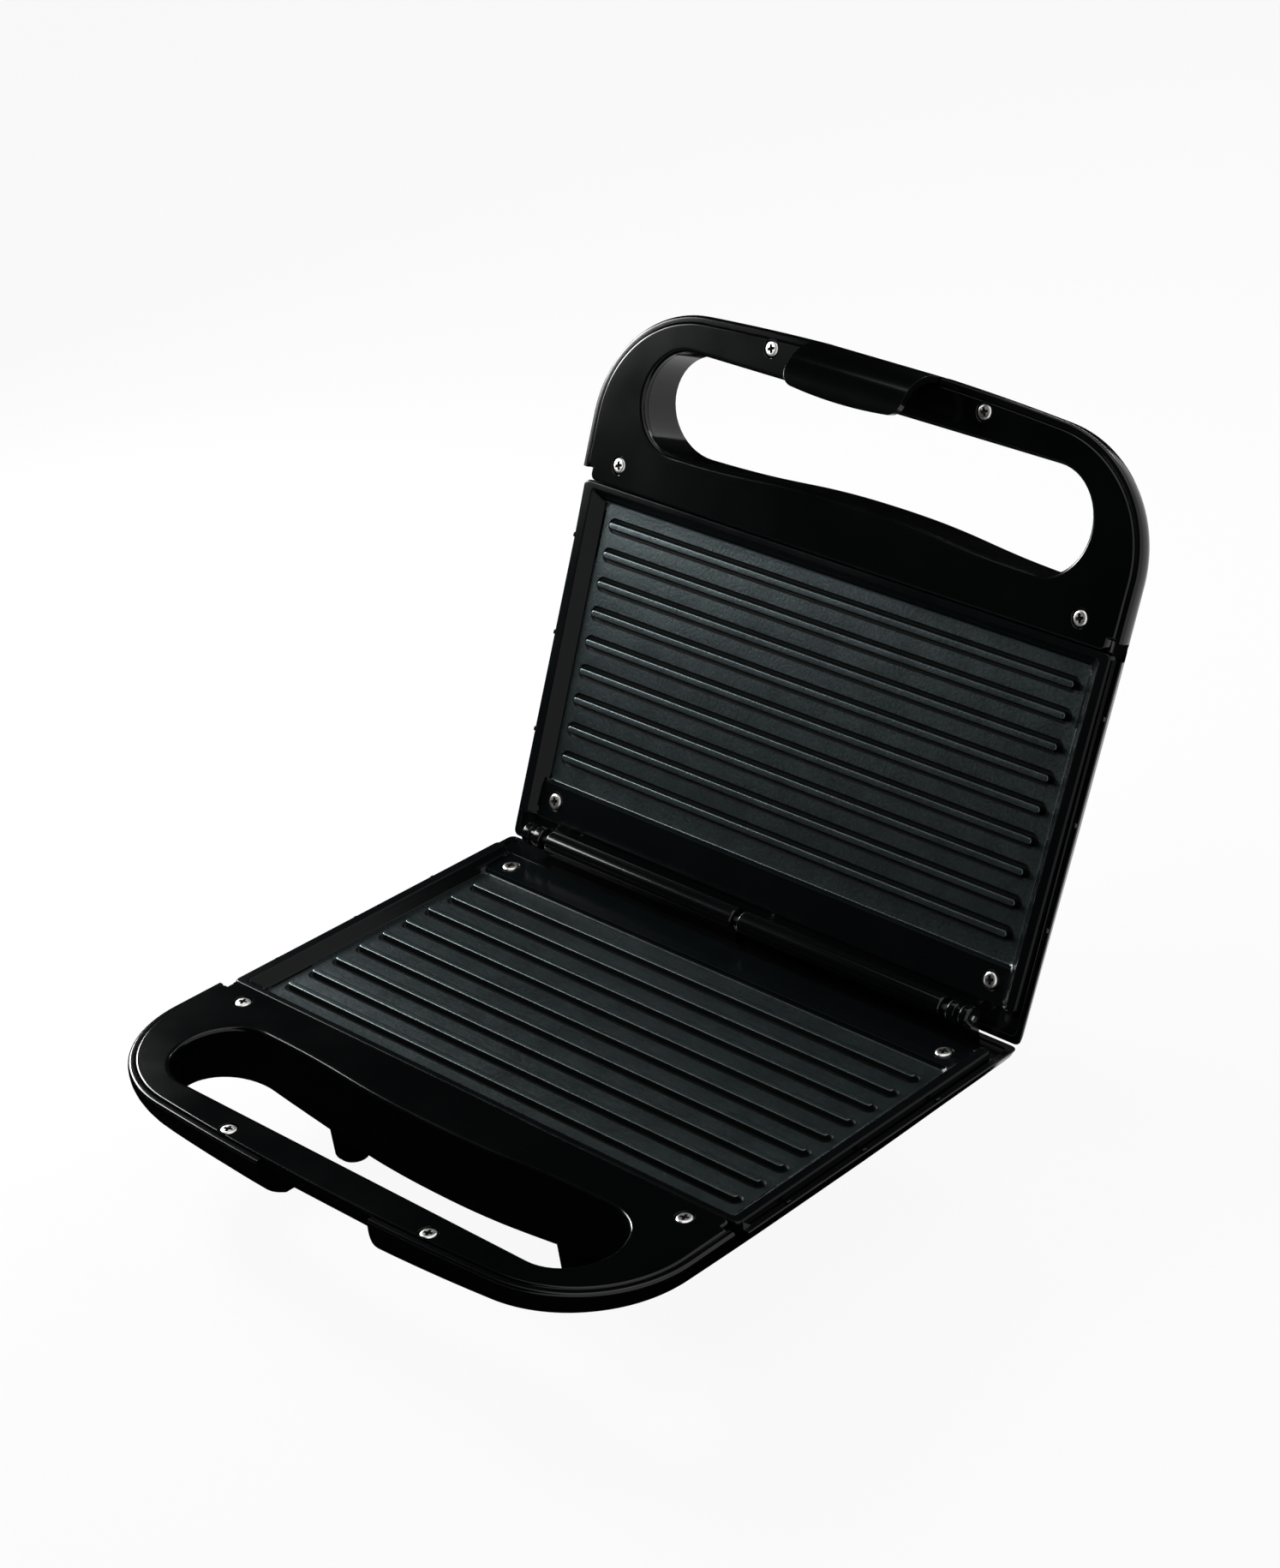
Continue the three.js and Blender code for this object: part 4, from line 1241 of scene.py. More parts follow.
    def lid_cutters(self) -> list[bpy.types.Object]:
        """Make the lamp holes and the pockets of the latch's ears.

        Returns:
            The solids that cut them.
        """
        radius, top = self.lens_hole
        lenses = [prism("lens cutter", circle(side * LENS_X, LENS_Y, radius), DEEP, top) for side in (-1, 1)]
        y, z = LATCH_PIVOT
        radius, half = self.pocket
        points = arc(y, z, radius, math.pi / 2, math.pi, 12)
        points += [Vector((y, DEEP)), Vector((BEYOND, DEEP)), Vector((BEYOND, z + radius))]
        return lenses + [side_prism("ear cutter", points, half, side * EAR_X) for side in (-1, 1)]

    def nubs(self) -> bpy.types.Object:
        """Make the small locating nubs on the lip beside the grill plate.

        Returns:
            The nubs, dressed and hung on the half's body as one piece.
        """
        shape = bmesh.new()
        size = Matrix.Diagonal((*self.nub_size, 1))
        for side in (-1, 1):
            for y in self.nub_places:
                x = side * (self.nub_x + y * self.nub_slope)
                place = Matrix.Translation((x, y, self.lip + self.nub_rise)) @ size
                made = bmesh.ops.create_cube(shape, size=1)["verts"]
                bmesh.ops.transform(shape, matrix=place, verts=made)
        bmesh.ops.bevel(
            shape, geom=shape.edges[:], offset=self.nub_edge, segments=3, profile=0.5, affect="EDGES",
            material=-1,
        )
        nubs = put_in_scene(self.half.value + "_lip_nubs", shape)
        return finish_piece(nubs, self.half, self.half.value, GLOSS_ABS, "shell_plastic", [])


# ------------------------------------------------------------------ handle cover


@dataclass
class HandleCover:
    """The flat cover let into the handle ring.

    Attributes:
        half: Which half it is on.
        face: Level of its face.
        under: Level of its underside.
        inset: Distance inside the shell's outline.
        rear: Edge towards the grill plate.
        corner: Radius of its rear corners.
        edge: Radius of its outer edge.
        opening_edge: Radius of its edge around the finger opening.
        notch_side: Middle of the press to its side behind the notch's front.
        notch_front: Start and end of the corner that it turns round the notch.
        full_from: Where it follows the shell's outline.
        sink: Depth of the counterbores below the tops of the screws' heads.
        face_margin: Flat between its rounded outer edge and the fill of its face.
        hole_margin: Flat between its rounded inner edge and the fill of its face.
    """

    half: Half
    face: float = -4.6
    under: float = -7.4
    inset: float = 2.9
    rear: float = 139.0
    corner: float = 3.0
    edge: float = 0.9
    opening_edge: float = 1.5
    notch_side: float = 128.7
    notch_front: tuple[float, float] = (143.5, 145.0)
    full_from: float = 146.0
    sink: float = 1.8
    face_margin: float = 0.1
    hole_margin: float = 0.5

    def plan(self, inset: float) -> list[Vector]:
        """Return the cover's outline.

        Args:
            inset: Distance that it is moved inwards.

        Returns:
            Plan points, always the same count.
        """
        shell = OUTLINE.right_side(0)
        side = [p for p, q in zip(OUTLINE.right_side(self.inset + inset), shell) if q.y > self.full_from]
        out = side[0].x
        corner = max(self.corner - inset, 0.4)
        rear = self.rear + inset
        inner = self.notch_side - inset
        front, end = (y + inset for y in self.notch_front)
        right = (
            curve([(inner - corner, rear), (inner, rear), (inner, rear + corner)], 6)
            + curve([(inner, rear + corner), (inner, front)], 3)
            + curve([(inner, front), (out, front), (out, end)], 6)
            + side
        )
        rear_edge = curve([(-inner + corner, rear), (inner - corner, rear)], 30)
        return rear_edge + right + mirrored(right)[1:-1]

    def build(self) -> bpy.types.Object:
        """Make the finished cover.

        Returns:
            The cover, dressed and hung on its body.
        """
        skin = Skin()
        low = loop = skin.start(flat(self.plan(0), self.under))
        for inset, drop in quarter(5):
            loop = skin.grow(loop, flat(self.plan(self.edge * inset), self.face - self.edge * drop))
        top = skin.grow(loop, flat(self.plan(self.edge + self.face_margin), self.face))
        around = self.opening_edge
        hole = inner = skin.start(flat(OPENING.points(around + self.hole_margin), self.face))
        for drop, grow in quarter(6):
            inner = skin.grow(inner, flat(OPENING.points(around * grow), self.face - around * drop))
        inner = skin.grow(inner, flat(OPENING.points(0), self.under))
        holes = [
            screw_hole(skin, place, self.face, place.head - self.sink, self.under) for place in COVER_SCREWS
        ]
        skin.fill(top, hole, *holes)
        skin.fill(low, inner, *skin.ends)
        name = self.half.value
        cover = combine(skin.object(name + "_cover"), [BAR.recess_cutter()], Operation.CUT)
        return finish_piece(cover, self.half, name, SATIN_ABS, "cover_plastic", [name + "_handle_cover"])


# ------------------------------------------------------------------ grill plate


@dataclass
class GrillPlate:
    """A die-cast plate with a raised rim, a hinge-side flange and nine ribs.

    Attributes:
        half: Which half it is in, or None for the shared measurements.
        front: Edge towards the handle.
        rear: Edge towards the hinge.
        edge: Radius of the rim's outer edge.
        front_half: Half the width at the front.
        rear_half: Half the width at the rear.
        corner: Radius of the corners.
        rim: Top of the rim.
        flange: Level of the flange.
        floor: Level of the cooking floor.
        under: Underside of the body.
        rim_under: Underside of the rim.
        rim_width: Width of the side rims' flat tops.
        front_rim_width: Width of the front rim's flat top.
        front_run: Run of the front slope, as a share of the side slopes' run.
        flange_rear: Where the flange ends and the drop to the cooking floor starts.
        slope: Distance from the rim's flat top and drop, along the slope to the cooking floor.
        rib_count: Number of ribs.
        rib_first: Rib nearest the hinge.
        rib_pitch: Distance between ribs.
        rib_half: Half the length of the rib nearest the hinge.
        crest: Level of the ribs' tops.
        crest_half: Half the width of a rib's rounded top.
        groove_half: Half the width of the groove that a rib stands in.
        rib_end: Distance from a rib's end to the middle of its rounding.
        rib_steps: Half-width and depth below the cooking floor of each ring of a rib's groove.
        flange_run: Run down the slope to the flange.
        ground: Where the flange ends and the front rim starts, which are ground glossier and painted darker
            as painted shade.
        ground_side: Width of the side rims with their slopes, past their flat tops, which are ground
            glossier and painted darker as painted shade.
        body_inset: Distance from the outline to the body under the rim.
        under_edge: Width and height of the bevel under the rim.
        dense_end: Length at each end of the rear edge where its points are close together.
        dip_end: Width of the rear strip where the rim dips to the flange.
        bowl_corner: Corner radius of the bowl at the rim, and its growth with the run.
        rear_edge: Rear edge of the slope at the rim, and how far it moves in with the run.
        flange_edge: Rear edge of the flange.
        pan_run: Run of the pan's rear slope, as a share of the side slopes' run.
        pan_gap: Width of the strip between slope and pan.
        screw_floor: Level of the screws' counterbores.
    """

    half: Half | None = None
    front: float = 138.7
    rear: float = 5.3
    edge: float = 0.8
    front_half: float = 131.3
    rear_half: float = 127.8
    corner: float = 2.5
    rim: float = -5.4
    flange: float = -8.3
    floor: float = -10.0
    under: float = -13.3
    rim_under: float = -8.9
    rim_width: float = 3.9
    front_rim_width: float = 2.4
    front_run: float = 0.78
    flange_rear: float = 19.8
    slope: tuple[tuple[float, float], ...] = (
        (0.0, 0.0), (0.3, 0.05), (0.7, 0.25), (1.2, 0.7), (2.1, 1.65), (3.29, 2.9), (4.1, 3.75), (4.7, 4.25),
        (5.3, 4.5), (6.0, 4.6),
    )
    rib_count: int = 9
    rib_first: float = 31.0
    rib_pitch: float = 11.6
    rib_half: float = 114.0
    crest: float = -8.05
    crest_half: float = 1.25
    groove_half: float = 3.1
    rib_end: float = 1.75
    rib_steps: tuple[tuple[float, float], ...] = (
        (2.85, 0.06), (2.55, 0.25), (2.25, 0.42), (1.85, 0.42), (1.6, 0.1),
    )
    flange_run: float = 3.29
    ground: tuple[float, float] = (21.0, 132.2)
    ground_side: float = 5.6
    body_inset: float = 5.0
    under_edge: tuple[float, float] = (0.3, 0.2)
    dense_end: float = 13.0
    dip_end: float = 4.0
    bowl_corner: tuple[float, float] = (1.6, 0.25)
    rear_edge: tuple[float, float] = (0.2, 0.3)
    flange_edge: float = 1.3
    pan_run: float = 0.55
    pan_gap: float = 0.06
    screw_floor: float = -9.3

    @property
    def taper(self) -> float:
        """Growth of the half-width towards the handle."""
        return (self.front_half - self.rear_half) / (self.front - self.rear)

    def half_at(self, y: float) -> float:
        """Return half the width at a distance from the hinge axis."""
        return self.rear_half + self.taper * (y - self.rear)

    def points(
        self, inset: float, front: float, rear: float, corner: float | None = None
    ) -> list[Vector]:
        """Return the plate's outline with its own edges.

        Args:
            inset: Distance inside the sides.
            front: Front edge.
            rear: Rear edge.
            corner: Corner radius, or None for the plate's own less the inset.

        Returns:
            Plan points, always the same count.
        """
        r = max(self.corner - inset, 2.0) if corner is None else corner
        a, b = self.half_at(rear) - inset, self.half_at(front) - inset
        inner = self.rear_half - self.dense_end
        return (
            curve([(-a + r, rear), (-inner, rear)], 12)
            + curve([(-inner, rear), (inner, rear)], 20)
            + curve([(inner, rear), (a - r, rear)], 12)
            + curve([(a - r, rear), (a, rear), (a, rear + r)], 8)
            + curve([(a, rear + r), (b, front - r)], 16)
            + curve([(b, front - r), (b, front), (b - r, front)], 8)
            + curve([(b - r, front), (-b + r, front)], 24)
            + curve([(-b + r, front), (-b, front), (-b, front - r)], 8)
            + curve([(-b, front - r), (-a, rear + r)], 16)
            + curve([(-a, rear + r), (-a, rear), (-a + r, rear)], 8)
        )

    def even(self, inset: float, corner: float | None = None) -> list[Vector]:
        """Return the outline moved inwards evenly."""
        return self.points(inset, self.front - inset, self.rear + inset, corner)

    def rib_place(self, index: int) -> tuple[float, float]:
        """Return a rib's distance from the hinge axis and the middle of its end's rounding."""
        y = self.rib_first + index * self.rib_pitch
        return y, self.rib_half + self.taper * (y - self.rear) - self.rib_end

    def rib_plan(self, index: int, half_width: float) -> list[Vector]:
        """Return the plan of one rib with rounded ends.

        Args:
            index: Number of the rib, from the hinge.
            half_width: Half its width at the level that is drawn.

        Returns:
            Plan points, always the same count.
        """
        y, end = self.rib_place(index)
        turns = [math.pi * (i / 10 - 0.5) for i in range(11)]
        right = [Vector((end + half_width * math.cos(a), y + half_width * math.sin(a))) for a in turns]
        left = [Vector((-end - half_width * math.cos(a), y - half_width * math.sin(a))) for a in turns]
        return right + left

    def rib(self, skin: Skin, index: int) -> Loop:
        """Grow one rib out of a shallow groove.

        Args:
            skin: Plate that is being grown.
            index: Number of the rib, from the hinge.

        Returns:
            The rib's loop in the cooking floor, for filling around.
        """
        rim = loop = skin.start(flat(self.rib_plan(index, self.groove_half), self.floor))
        top, crest = self.crest_half, self.crest
        steps = [(half_width, self.floor - depth) for half_width, depth in self.rib_steps]
        steps += [(top + 0.1, crest - 0.5), (top, crest - 0.22)]
        steps += [(top - 0.2, crest - 0.06), (top - 0.5, crest)]
        for half_width, level in steps:
            loop = skin.grow(loop, flat(self.rib_plan(index, half_width), level))
        skin.fill(loop)
        return rim

    def build(self) -> bpy.types.Object:
        """Make the finished plate.

        Returns:
            The plate, dressed and hung on its body.
        """
        skin = Skin()
        low = skin.start(flat(self.even(self.body_inset), self.under))
        loop = skin.grow(low, flat(self.even(self.body_inset), self.rim_under))
        bevel, rise = self.under_edge
        loop = skin.grow(loop, flat(self.even(bevel), self.rim_under))
        loop = skin.grow(loop, flat(self.even(0.0), self.rim_under + rise))
        for inset, drop in quarter(5):
            loop = skin.grow(loop, self.lifted(self.even(self.edge * inset), self.edge * drop))
        platform = self.slope_down(skin, loop)
        pan = self.pan(skin)
        holes = [
            screw_hole(skin, place, self.flange, self.screw_floor, self.under) for place in PLATE_SCREWS
        ]
        skin.fill(platform, pan, *holes)
        skin.fill(low, *skin.ends)
        name = self.half.value
        # The rim, the flange and the ribs' flanks get finishes painted darker: painted shade.
        return finish_piece(
            skin.object(name + "_plate"), self.half, name, NONSTICK, "nonstick_casting",
            [name + "_grill_plate"], smooth=50, others=(NONSTICK_RIM_GLOSSY_AND_SHADED, NONSTICK_FLANK_PAINTED_SHADE), zone=self.zone,
        )

    def zone(self, place: Vector) -> int:
        """Tell the plate's surfaces apart.

        Args:
            place: Middle of a face, in the half frame.

        Returns:
            2 on a rib's flank, which takes painted shade, 1 on the rim, its slope, the flange or the
            underside, which are glossier with painted shade, and 0 elsewhere.
        """
        index = min(max(round((place.y - self.rib_first) / self.rib_pitch), 0), self.rib_count - 1)
        y, end = self.rib_place(index)
        aside = math.hypot(max(abs(place.x) - end, 0.0), place.y - y)
        body = place.z <= self.floor - 1
        # A rib's flank takes the finish with painted shade.
        if not body and self.crest_half - 0.05 < aside < self.groove_half:
            return 2
        beside = self.half_at(place.y) - abs(place.x) < self.rim_width + self.ground_side
        flange_end, rim_start = self.ground
        return int(body or beside or place.y < flange_end or place.y > rim_start)

    def side_level(self, inset: float) -> float:
        """Find the level of the side rim and its slope.

        Args:
            inset: Distance inside the plate's side.

        Returns:
            The level, down to the flange's at the lowest.
        """
        run = max(inset - self.rim_width, 0.0)
        for (x0, z0), (x1, z1) in zip(self.slope, self.slope[1:]):
            if run <= x1:
                return max(self.rim - z0 - (z1 - z0) * (run - x0) / (x1 - x0), self.flange)
        return self.flange

    def lifted(self, plan: Sequence[Vector], drop: float, level: float = 0.0) -> list[Point]:
        """Lift plan points onto the rim, which dips to the flange along the hinge.

        Args:
            plan: Points of one ring.
            drop: Distance below the rim.
            level: Highest level of the ring, or 0 for the rim's own.

        Returns:
            Points of the ring.
        """
        top = level or self.rim
        lifted = []
        for p in plan:
            height = top
            if p.y < self.rear + self.dip_end:
                height = min(top, self.side_level(self.half_at(p.y) - abs(p.x)))
            share = min(1.0, (height - self.rim_under - self.under_edge[1]) / self.edge)
            lifted.append((p.x, p.y, height - drop * share))
        return lifted

    def ring(self, run: float, rear: float) -> list[Vector]:
        """Return the plan of the bowl at a distance down its slope.

        Args:
            run: Distance from the rim's flat top.
            rear: Rear edge of the ring.

        Returns:
            Plan points of the ring.
        """
        front = self.front - self.front_rim_width - run * self.front_run
        corner, growth = self.bowl_corner
        return self.points(self.rim_width + run, front, rear, corner + growth * run)

    def slope_down(self, skin: Skin, loop: Loop) -> Loop:
        """Grow the rim's inner slope down to the flange.

        Args:
            skin: Plate that is being grown.
            loop: Outer edge of the rim's flat top.

        Returns:
            The loop around the flange, for filling with the pan and the screw holes.
        """
        outer = self.rear + self.edge
        start, growth = self.rear_edge
        for run, drop in self.slope:
            if self.rim - drop > self.flange + 0.01:
                plan = self.ring(run, outer + start + growth * run)
                loop = skin.grow(loop, self.lifted(plan, 0, self.rim - drop))
        return skin.grow(loop, flat(self.ring(self.flange_run, outer + self.flange_edge), self.flange))

    def pan(self, skin: Skin) -> Loop:
        """Grow the pan inside the flange, with its ribs.

        Args:
            skin: Plate that is being grown.

        Returns:
            The pan's loop in the flange.
        """
        edge = self.ring(self.flange_run + self.pan_gap, self.flange_rear)
        pan = bottom = skin.start(flat(edge, self.flange))
        for run, drop in self.slope:
            if self.rim - drop < self.flange - 0.01:
                rear = self.flange_rear + self.pan_run * (run - self.flange_run)
                bottom = skin.grow(bottom, flat(self.ring(run, rear), self.rim - drop))
        skin.fill(bottom, *[self.rib(skin, i) for i in range(self.rib_count)])
        return pan


PLATE = GrillPlate()


# ------------------------------------------------------------------ screws


@dataclass
class Screw:
    """A cross-head machine screw.

    Attributes:
        half: Half that it holds together.
        index: Number of its CAD node.
        place: Where it sits.
        radius: Radius of its head.
        shank: Radius of its shank.
        turn: How far its cross is turned.
        recess_reach: Radius of the head's part with the recess.
        recess_depth: Depth of that part.
    """

    half: Half
    index: int
    place: ScrewPlace
    radius: float = 3.1
    shank: float = 1.4
    turn: float = 0.35
    recess_reach: float = 1.8
    recess_depth: float = 1.3

    def in_recess(self, place: Vector) -> int:
        """Tell the driver's cross, which takes the painted shade, from the rest of the screw.

        Args:
            place: Middle of a face, in the half frame.

        Returns:
            1 in the cross and 0 elsewhere.
        """
        reach = (place.xy - Vector((self.place.x, self.place.y))).length
        depth = self.place.head - place.z
        return int(reach < self.recess_reach and 0.02 < depth < self.recess_depth)

    def cross(self, reach: float, half: float) -> list[Vector]:
        """Return the plan of the driver's cross.

        Args:
            reach: Length of an arm.
            half: Half the width of an arm.

        Returns:
            Three plan points for each arm.
        """
        arm = [(reach, -half), (reach, half), (half * 1.25, half * 1.25)]
        points = []
        for number in range(4):
            turn = Matrix.Rotation(number * math.pi / 2 + self.turn, 2)
            points += [turn @ Vector(corner) + Vector((self.place.x, self.place.y)) for corner in arm]
        return points

    def ring(self, radius: float, level: float) -> list[Point]:
        """Return a ring about the screw's axis."""
        return flat(circle(self.place.x, self.place.y, radius, 40), level)

    def build(self) -> bpy.types.Object:
        """Make the finished screw.

        Returns:
            The screw, dressed and hung on its body.
        """
        top = self.place.head
        under = top - HEAD_HEIGHT
        r, shank, point = self.radius, self.shank, under - self.place.shank
        skin = Skin()
        tip = skin.start(self.ring(shank / 2, point))
        loop = skin.grow(tip, self.ring(shank, point + 0.8))
        head = ((r - 0.15, under), (r, under + 0.15), (r, top - 0.75), (r - 0.12, top - 0.4),
                (r - 0.45, top - 0.12), (r - 0.9, top))
        for radius, level in ((shank, under), *head):
            loop = skin.grow(loop, self.ring(radius, level))
        slot = skin.start(flat(self.cross(1.75, 0.5), top))
        skin.fill(loop, slot)
        deep = skin.grow(slot, flat(self.cross(1.65, 0.46), top - 0.12))
        deep = skin.grow(deep, flat(self.cross(0.8, 0.3), top - 1.1))
        skin.fill(deep)
        skin.fill(tip)
        name = f"{self.half.value}_screw_{self.index}"
        # The driver's cross takes the painted shade.
        return finish_piece(
            skin.object(name + "_bright"), self.half, self.half.value, NICKEL, "nickel_screw", [name],
            smooth=30, others=(RECESS_PAINTED_SHADE,), zone=self.in_recess,
        )


# ------------------------------------------------------------------ latch


@dataclass
class Latch:
    """The strap latch over the middle of the lid's handle bar.

    Attributes:
        half_width: Half its width.
        outer: Radius of its outer surface.
        thick: Thickness of the strap.
        hook_y: Middle of the hook, from the hinge axis.
        hook_z: Its level.
        tip: Where the hook's lip ends.
        tip_bow: How far the lip's ends lie behind its middle.
        corner: Radius of the lip's corners.
        foot: Angle of the strap's lower end about the bar's centre.
        ear_radius: Radius of an ear about the latch pin.
        ear_half: Half an ear's thickness.
        ear_arc: Start and sweep of an ear's rounding about the latch pin, in degrees.
        ear_root: Where the ears run into the strap, from the hinge axis.
        ear_root_half: Half an ear's height there.
        bevel: Width of the bevel on its edges.
    """

    half_width: float = 28.7
    outer: float = 16.0
    thick: float = 2.6
    hook_y: float = 198.97
    hook_z: float = -2.33
    tip: float = 196.7
    tip_bow: float = 1.8
    corner: float = 5.0
    foot: float = math.radians(32)
    ear_radius: float = 3.4
    ear_half: float = 3.5
    ear_arc: tuple[float, float] = (42.0, 276.0)
    ear_root: float = 211.6
    ear_root_half: float = 2.3
    bevel: float = 0.5

    def tip_at(self, x: float) -> float:
        """Find where the lip ends.

        Args:
            x: Distance from the middle.

        Returns:
            Distance of its end from the hinge axis.
        """
        bow = self.tip_bow * (x / self.half_width) ** 2
        over = max(abs(x) - (self.half_width - self.corner), 0.0)
        return self.tip + bow + self.corner - math.sqrt(max(self.corner**2 - over**2, 0.0))

    def surface(self, x: float, share: float) -> Point:
        """Return a point of the strap's outer surface.

        Args:
            x: Distance from the middle.
            share: 0 at the strap's foot, 1 at the lip.

        Returns:
            Place in the lid's half frame.
        """
        r = self.outer
        last = math.acos((self.tip_at(x) - self.hook_y) / r)
        lower = r * self.foot
        straight = self.hook_z - BAR.z
        run = share * (lower + straight + r * last)
        if run < lower:
            angle = run / r - self.foot
            return x, BAR.y + r * math.cos(angle), BAR.z + r * math.sin(angle)
        if run < lower + straight:
            return x, BAR.y + r + (self.hook_y - BAR.y) * (run - lower) / straight, BAR.z + run - lower
        angle = (run - lower - straight) / r
        return x, self.hook_y + r * math.cos(angle), self.hook_z + r * math.sin(angle)

    def build(self) -> bpy.types.Object:
        """Make the finished latch.

        Returns:
            The latch, dressed and hung on its body.
        """
        shape = bmesh.new()
        bmesh.ops.create_grid(shape, x_segments=48, y_segments=56, size=1)
        for vert in shape.verts:
            x = math.sin(vert.co.x * math.pi / 2) * self.half_width
            vert.co = self.surface(x, (vert.co.y + 1) / 2)
        bmesh.ops.recalc_face_normals(shape, faces=shape.faces)
        middle = min(
            shape.faces, key=lambda f: abs(f.calc_center_median().x) + abs(f.calc_center_median().z - 2)
        )
        thickness = self.thick if middle.normal.y > 0 else -self.thick
        bmesh.ops.solidify(shape, geom=shape.faces[:], thickness=thickness)
        bmesh.ops.recalc_face_normals(shape, faces=shape.faces)
        strap = combine(put_in_scene("latch_strap", shape), self.ears(), Operation.JOIN)
        soften(strap, self.bevel)
        return finish_piece(strap, Half.LID, "latch", GLOSS_ABS, "latch_plastic", ["latch"])

    def ears(self) -> list[bpy.types.Object]:
        """Make the two ears that turn on the latch pin.

        Returns:
            The solids.
        """
        y, z = LATCH_PIVOT
        start, sweep = (math.radians(angle) for angle in self.ear_arc)
        points = arc(y, z, self.ear_radius, start, sweep, 24)
        points += [Vector((self.ear_root, z + side * self.ear_root_half)) for side in (-1, 1)]
        return [side_prism("ear", points, self.ear_half, side * EAR_X) for side in (-1, 1)]


# ------------------------------------------------------------------ small parts


@dataclass
class FootPads:
    """Rubber pads under the base's foot posts.

    Attributes:
        radius: Radius of a pad.
        height: Its height.
    """

    radius: float = 5.6
    height: float = 3.0

    def build(self) -> None:
        """Make and dress each pad, and hang it on the base."""
        r, low = self.radius, -FOOT_DROP
        tread = [(0, low), (2.2, low), (2.5, low + 0.25), (r - 1.2, low + 0.25), (r - 0.9, low)]
        side = [(r - 0.5, low), (r - 0.12, low + 0.15), (r, low + 0.5), (r, low + self.height)]
        profile = tread + side + [(0, low + self.height)]
        for number, (x, y) in enumerate([(way * x, y) for x, y in FEET for way in (1, -1)], 1):
            pad = turned(f"foot_pad_{number}_soft", profile, Matrix.Translation((x, y, 0)))
            finish_piece(pad, Half.BASE, "base", RUBBER, "black_rubber", [f"foot_pad_{number}"])


@dataclass
class HingePin:
    """The steel pin through both halves' barrels.

    Attributes:
        radius: Its radius.
        half_length: Half its length.
        chamfer: Width of the chamfers on its ends.
    """

    radius: float = 1.5
    half_length: float = 115.8
    chamfer: float = 0.4

    def build(self) -> None:
        r, end, cut = self.radius, self.half_length, self.chamfer
        profile = [(0, -end), (r - cut, -end), (r, -end + cut), (r, end - cut), (r - cut, end), (0, end)]
        pin = turned("hinge_pin_bright", profile, ALONG_X, 32)
        finish_piece(pin, Half.BASE, "base", PIN_STEEL, "pin_steel", ["hinge_pin"])


@dataclass
class Lenses:
    """The two lamp lenses in the lid's crown.

    Attributes:
        radius: Radius of a lens.
        proud: Level of the top of its dome, outside the crown.
        flange: Radius of its flange.
        seat: Level where its flange starts.
        rear: Level of its rear face.
    """

    radius: float = 3.5
    proud: float = -39.7
    flange: float = 4.6
    seat: float = -36.0
    rear: float = -35.0

    def build(self) -> None:
        """Make and dress each lens, and hang it on the lid."""
        r, low = self.radius, self.proud
        profile = [(0, low), (1.4, low + 0.08), (2.4, low + 0.3), (3.1, low + 0.75), (r, low + 1.4),
                   (r, self.seat), (self.flange, self.seat), (self.flange, self.rear), (0, self.rear)]
        for name, side, finish, slot in (("power_lens", 1, RED_LENS, "red_lens"),
                                         ("ready_lens", -1, GREEN_LENS, "green_lens")):
            lens = turned(name + "_clear", profile, Matrix.Translation((side * LENS_X, LENS_Y, 0)), 40)
            finish_piece(lens, Half.LID, "lid", finish, slot, [name])


@dataclass
class Gland:
    """The rubber gland where the mains cord would enter the base.

    Attributes:
        bore: Radius of its bore.
        neck: Radius of its neck, in the shell's boss.
        end: Distance of its inner end from the hinge axis.
    """

    bore: float = 3.4
    neck: float = 5.2
    end: float = 18.0

    def build(self) -> None:
        b, neck, end = self.bore, self.neck, self.end
        collar = [(b, 0.7), (6.4, 0.7), (6.85, 0.9), (7.0, 1.3), (7.0, 2.2), (6.7, 2.7)]
        profile = collar + [(neck, 2.7), (neck, end - 0.4), (neck - 0.4, end), (b, end), (b, 0.7)]
        gland = turned("cord_gland_soft", profile, gland_axis(0))
        finish_piece(gland, Half.BASE, "base", RUBBER, "black_rubber", ["cord_gland"])


CARRIED_OVER = {
    "base_heater": HEATER_SHEATH,
    "lid_heater": HEATER_SHEATH,
    "base_reflector_tray": REFLECTOR,
    "lid_reflector_tray": REFLECTOR,
    "thermal_fuse": STEATITE,
    "terminal_block": PHENOLIC,
    "thermostat": PIN_STEEL,
    "power_lamp": LAMP_GLASS,
    "ready_lamp": LAMP_GLASS,
    "latch_pin": PIN_STEEL,
}


def dress_frame() -> None:
    """Give the CAD nodes that are carried over their own finishes."""
    for name, finish in CARRIED_OVER.items():
        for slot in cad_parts[name].material_slots:
            slot.material = material_of(finish)
        log.info("%s: carried over, %s", name, finish.name)


# ------------------------------------------------------------------ studio


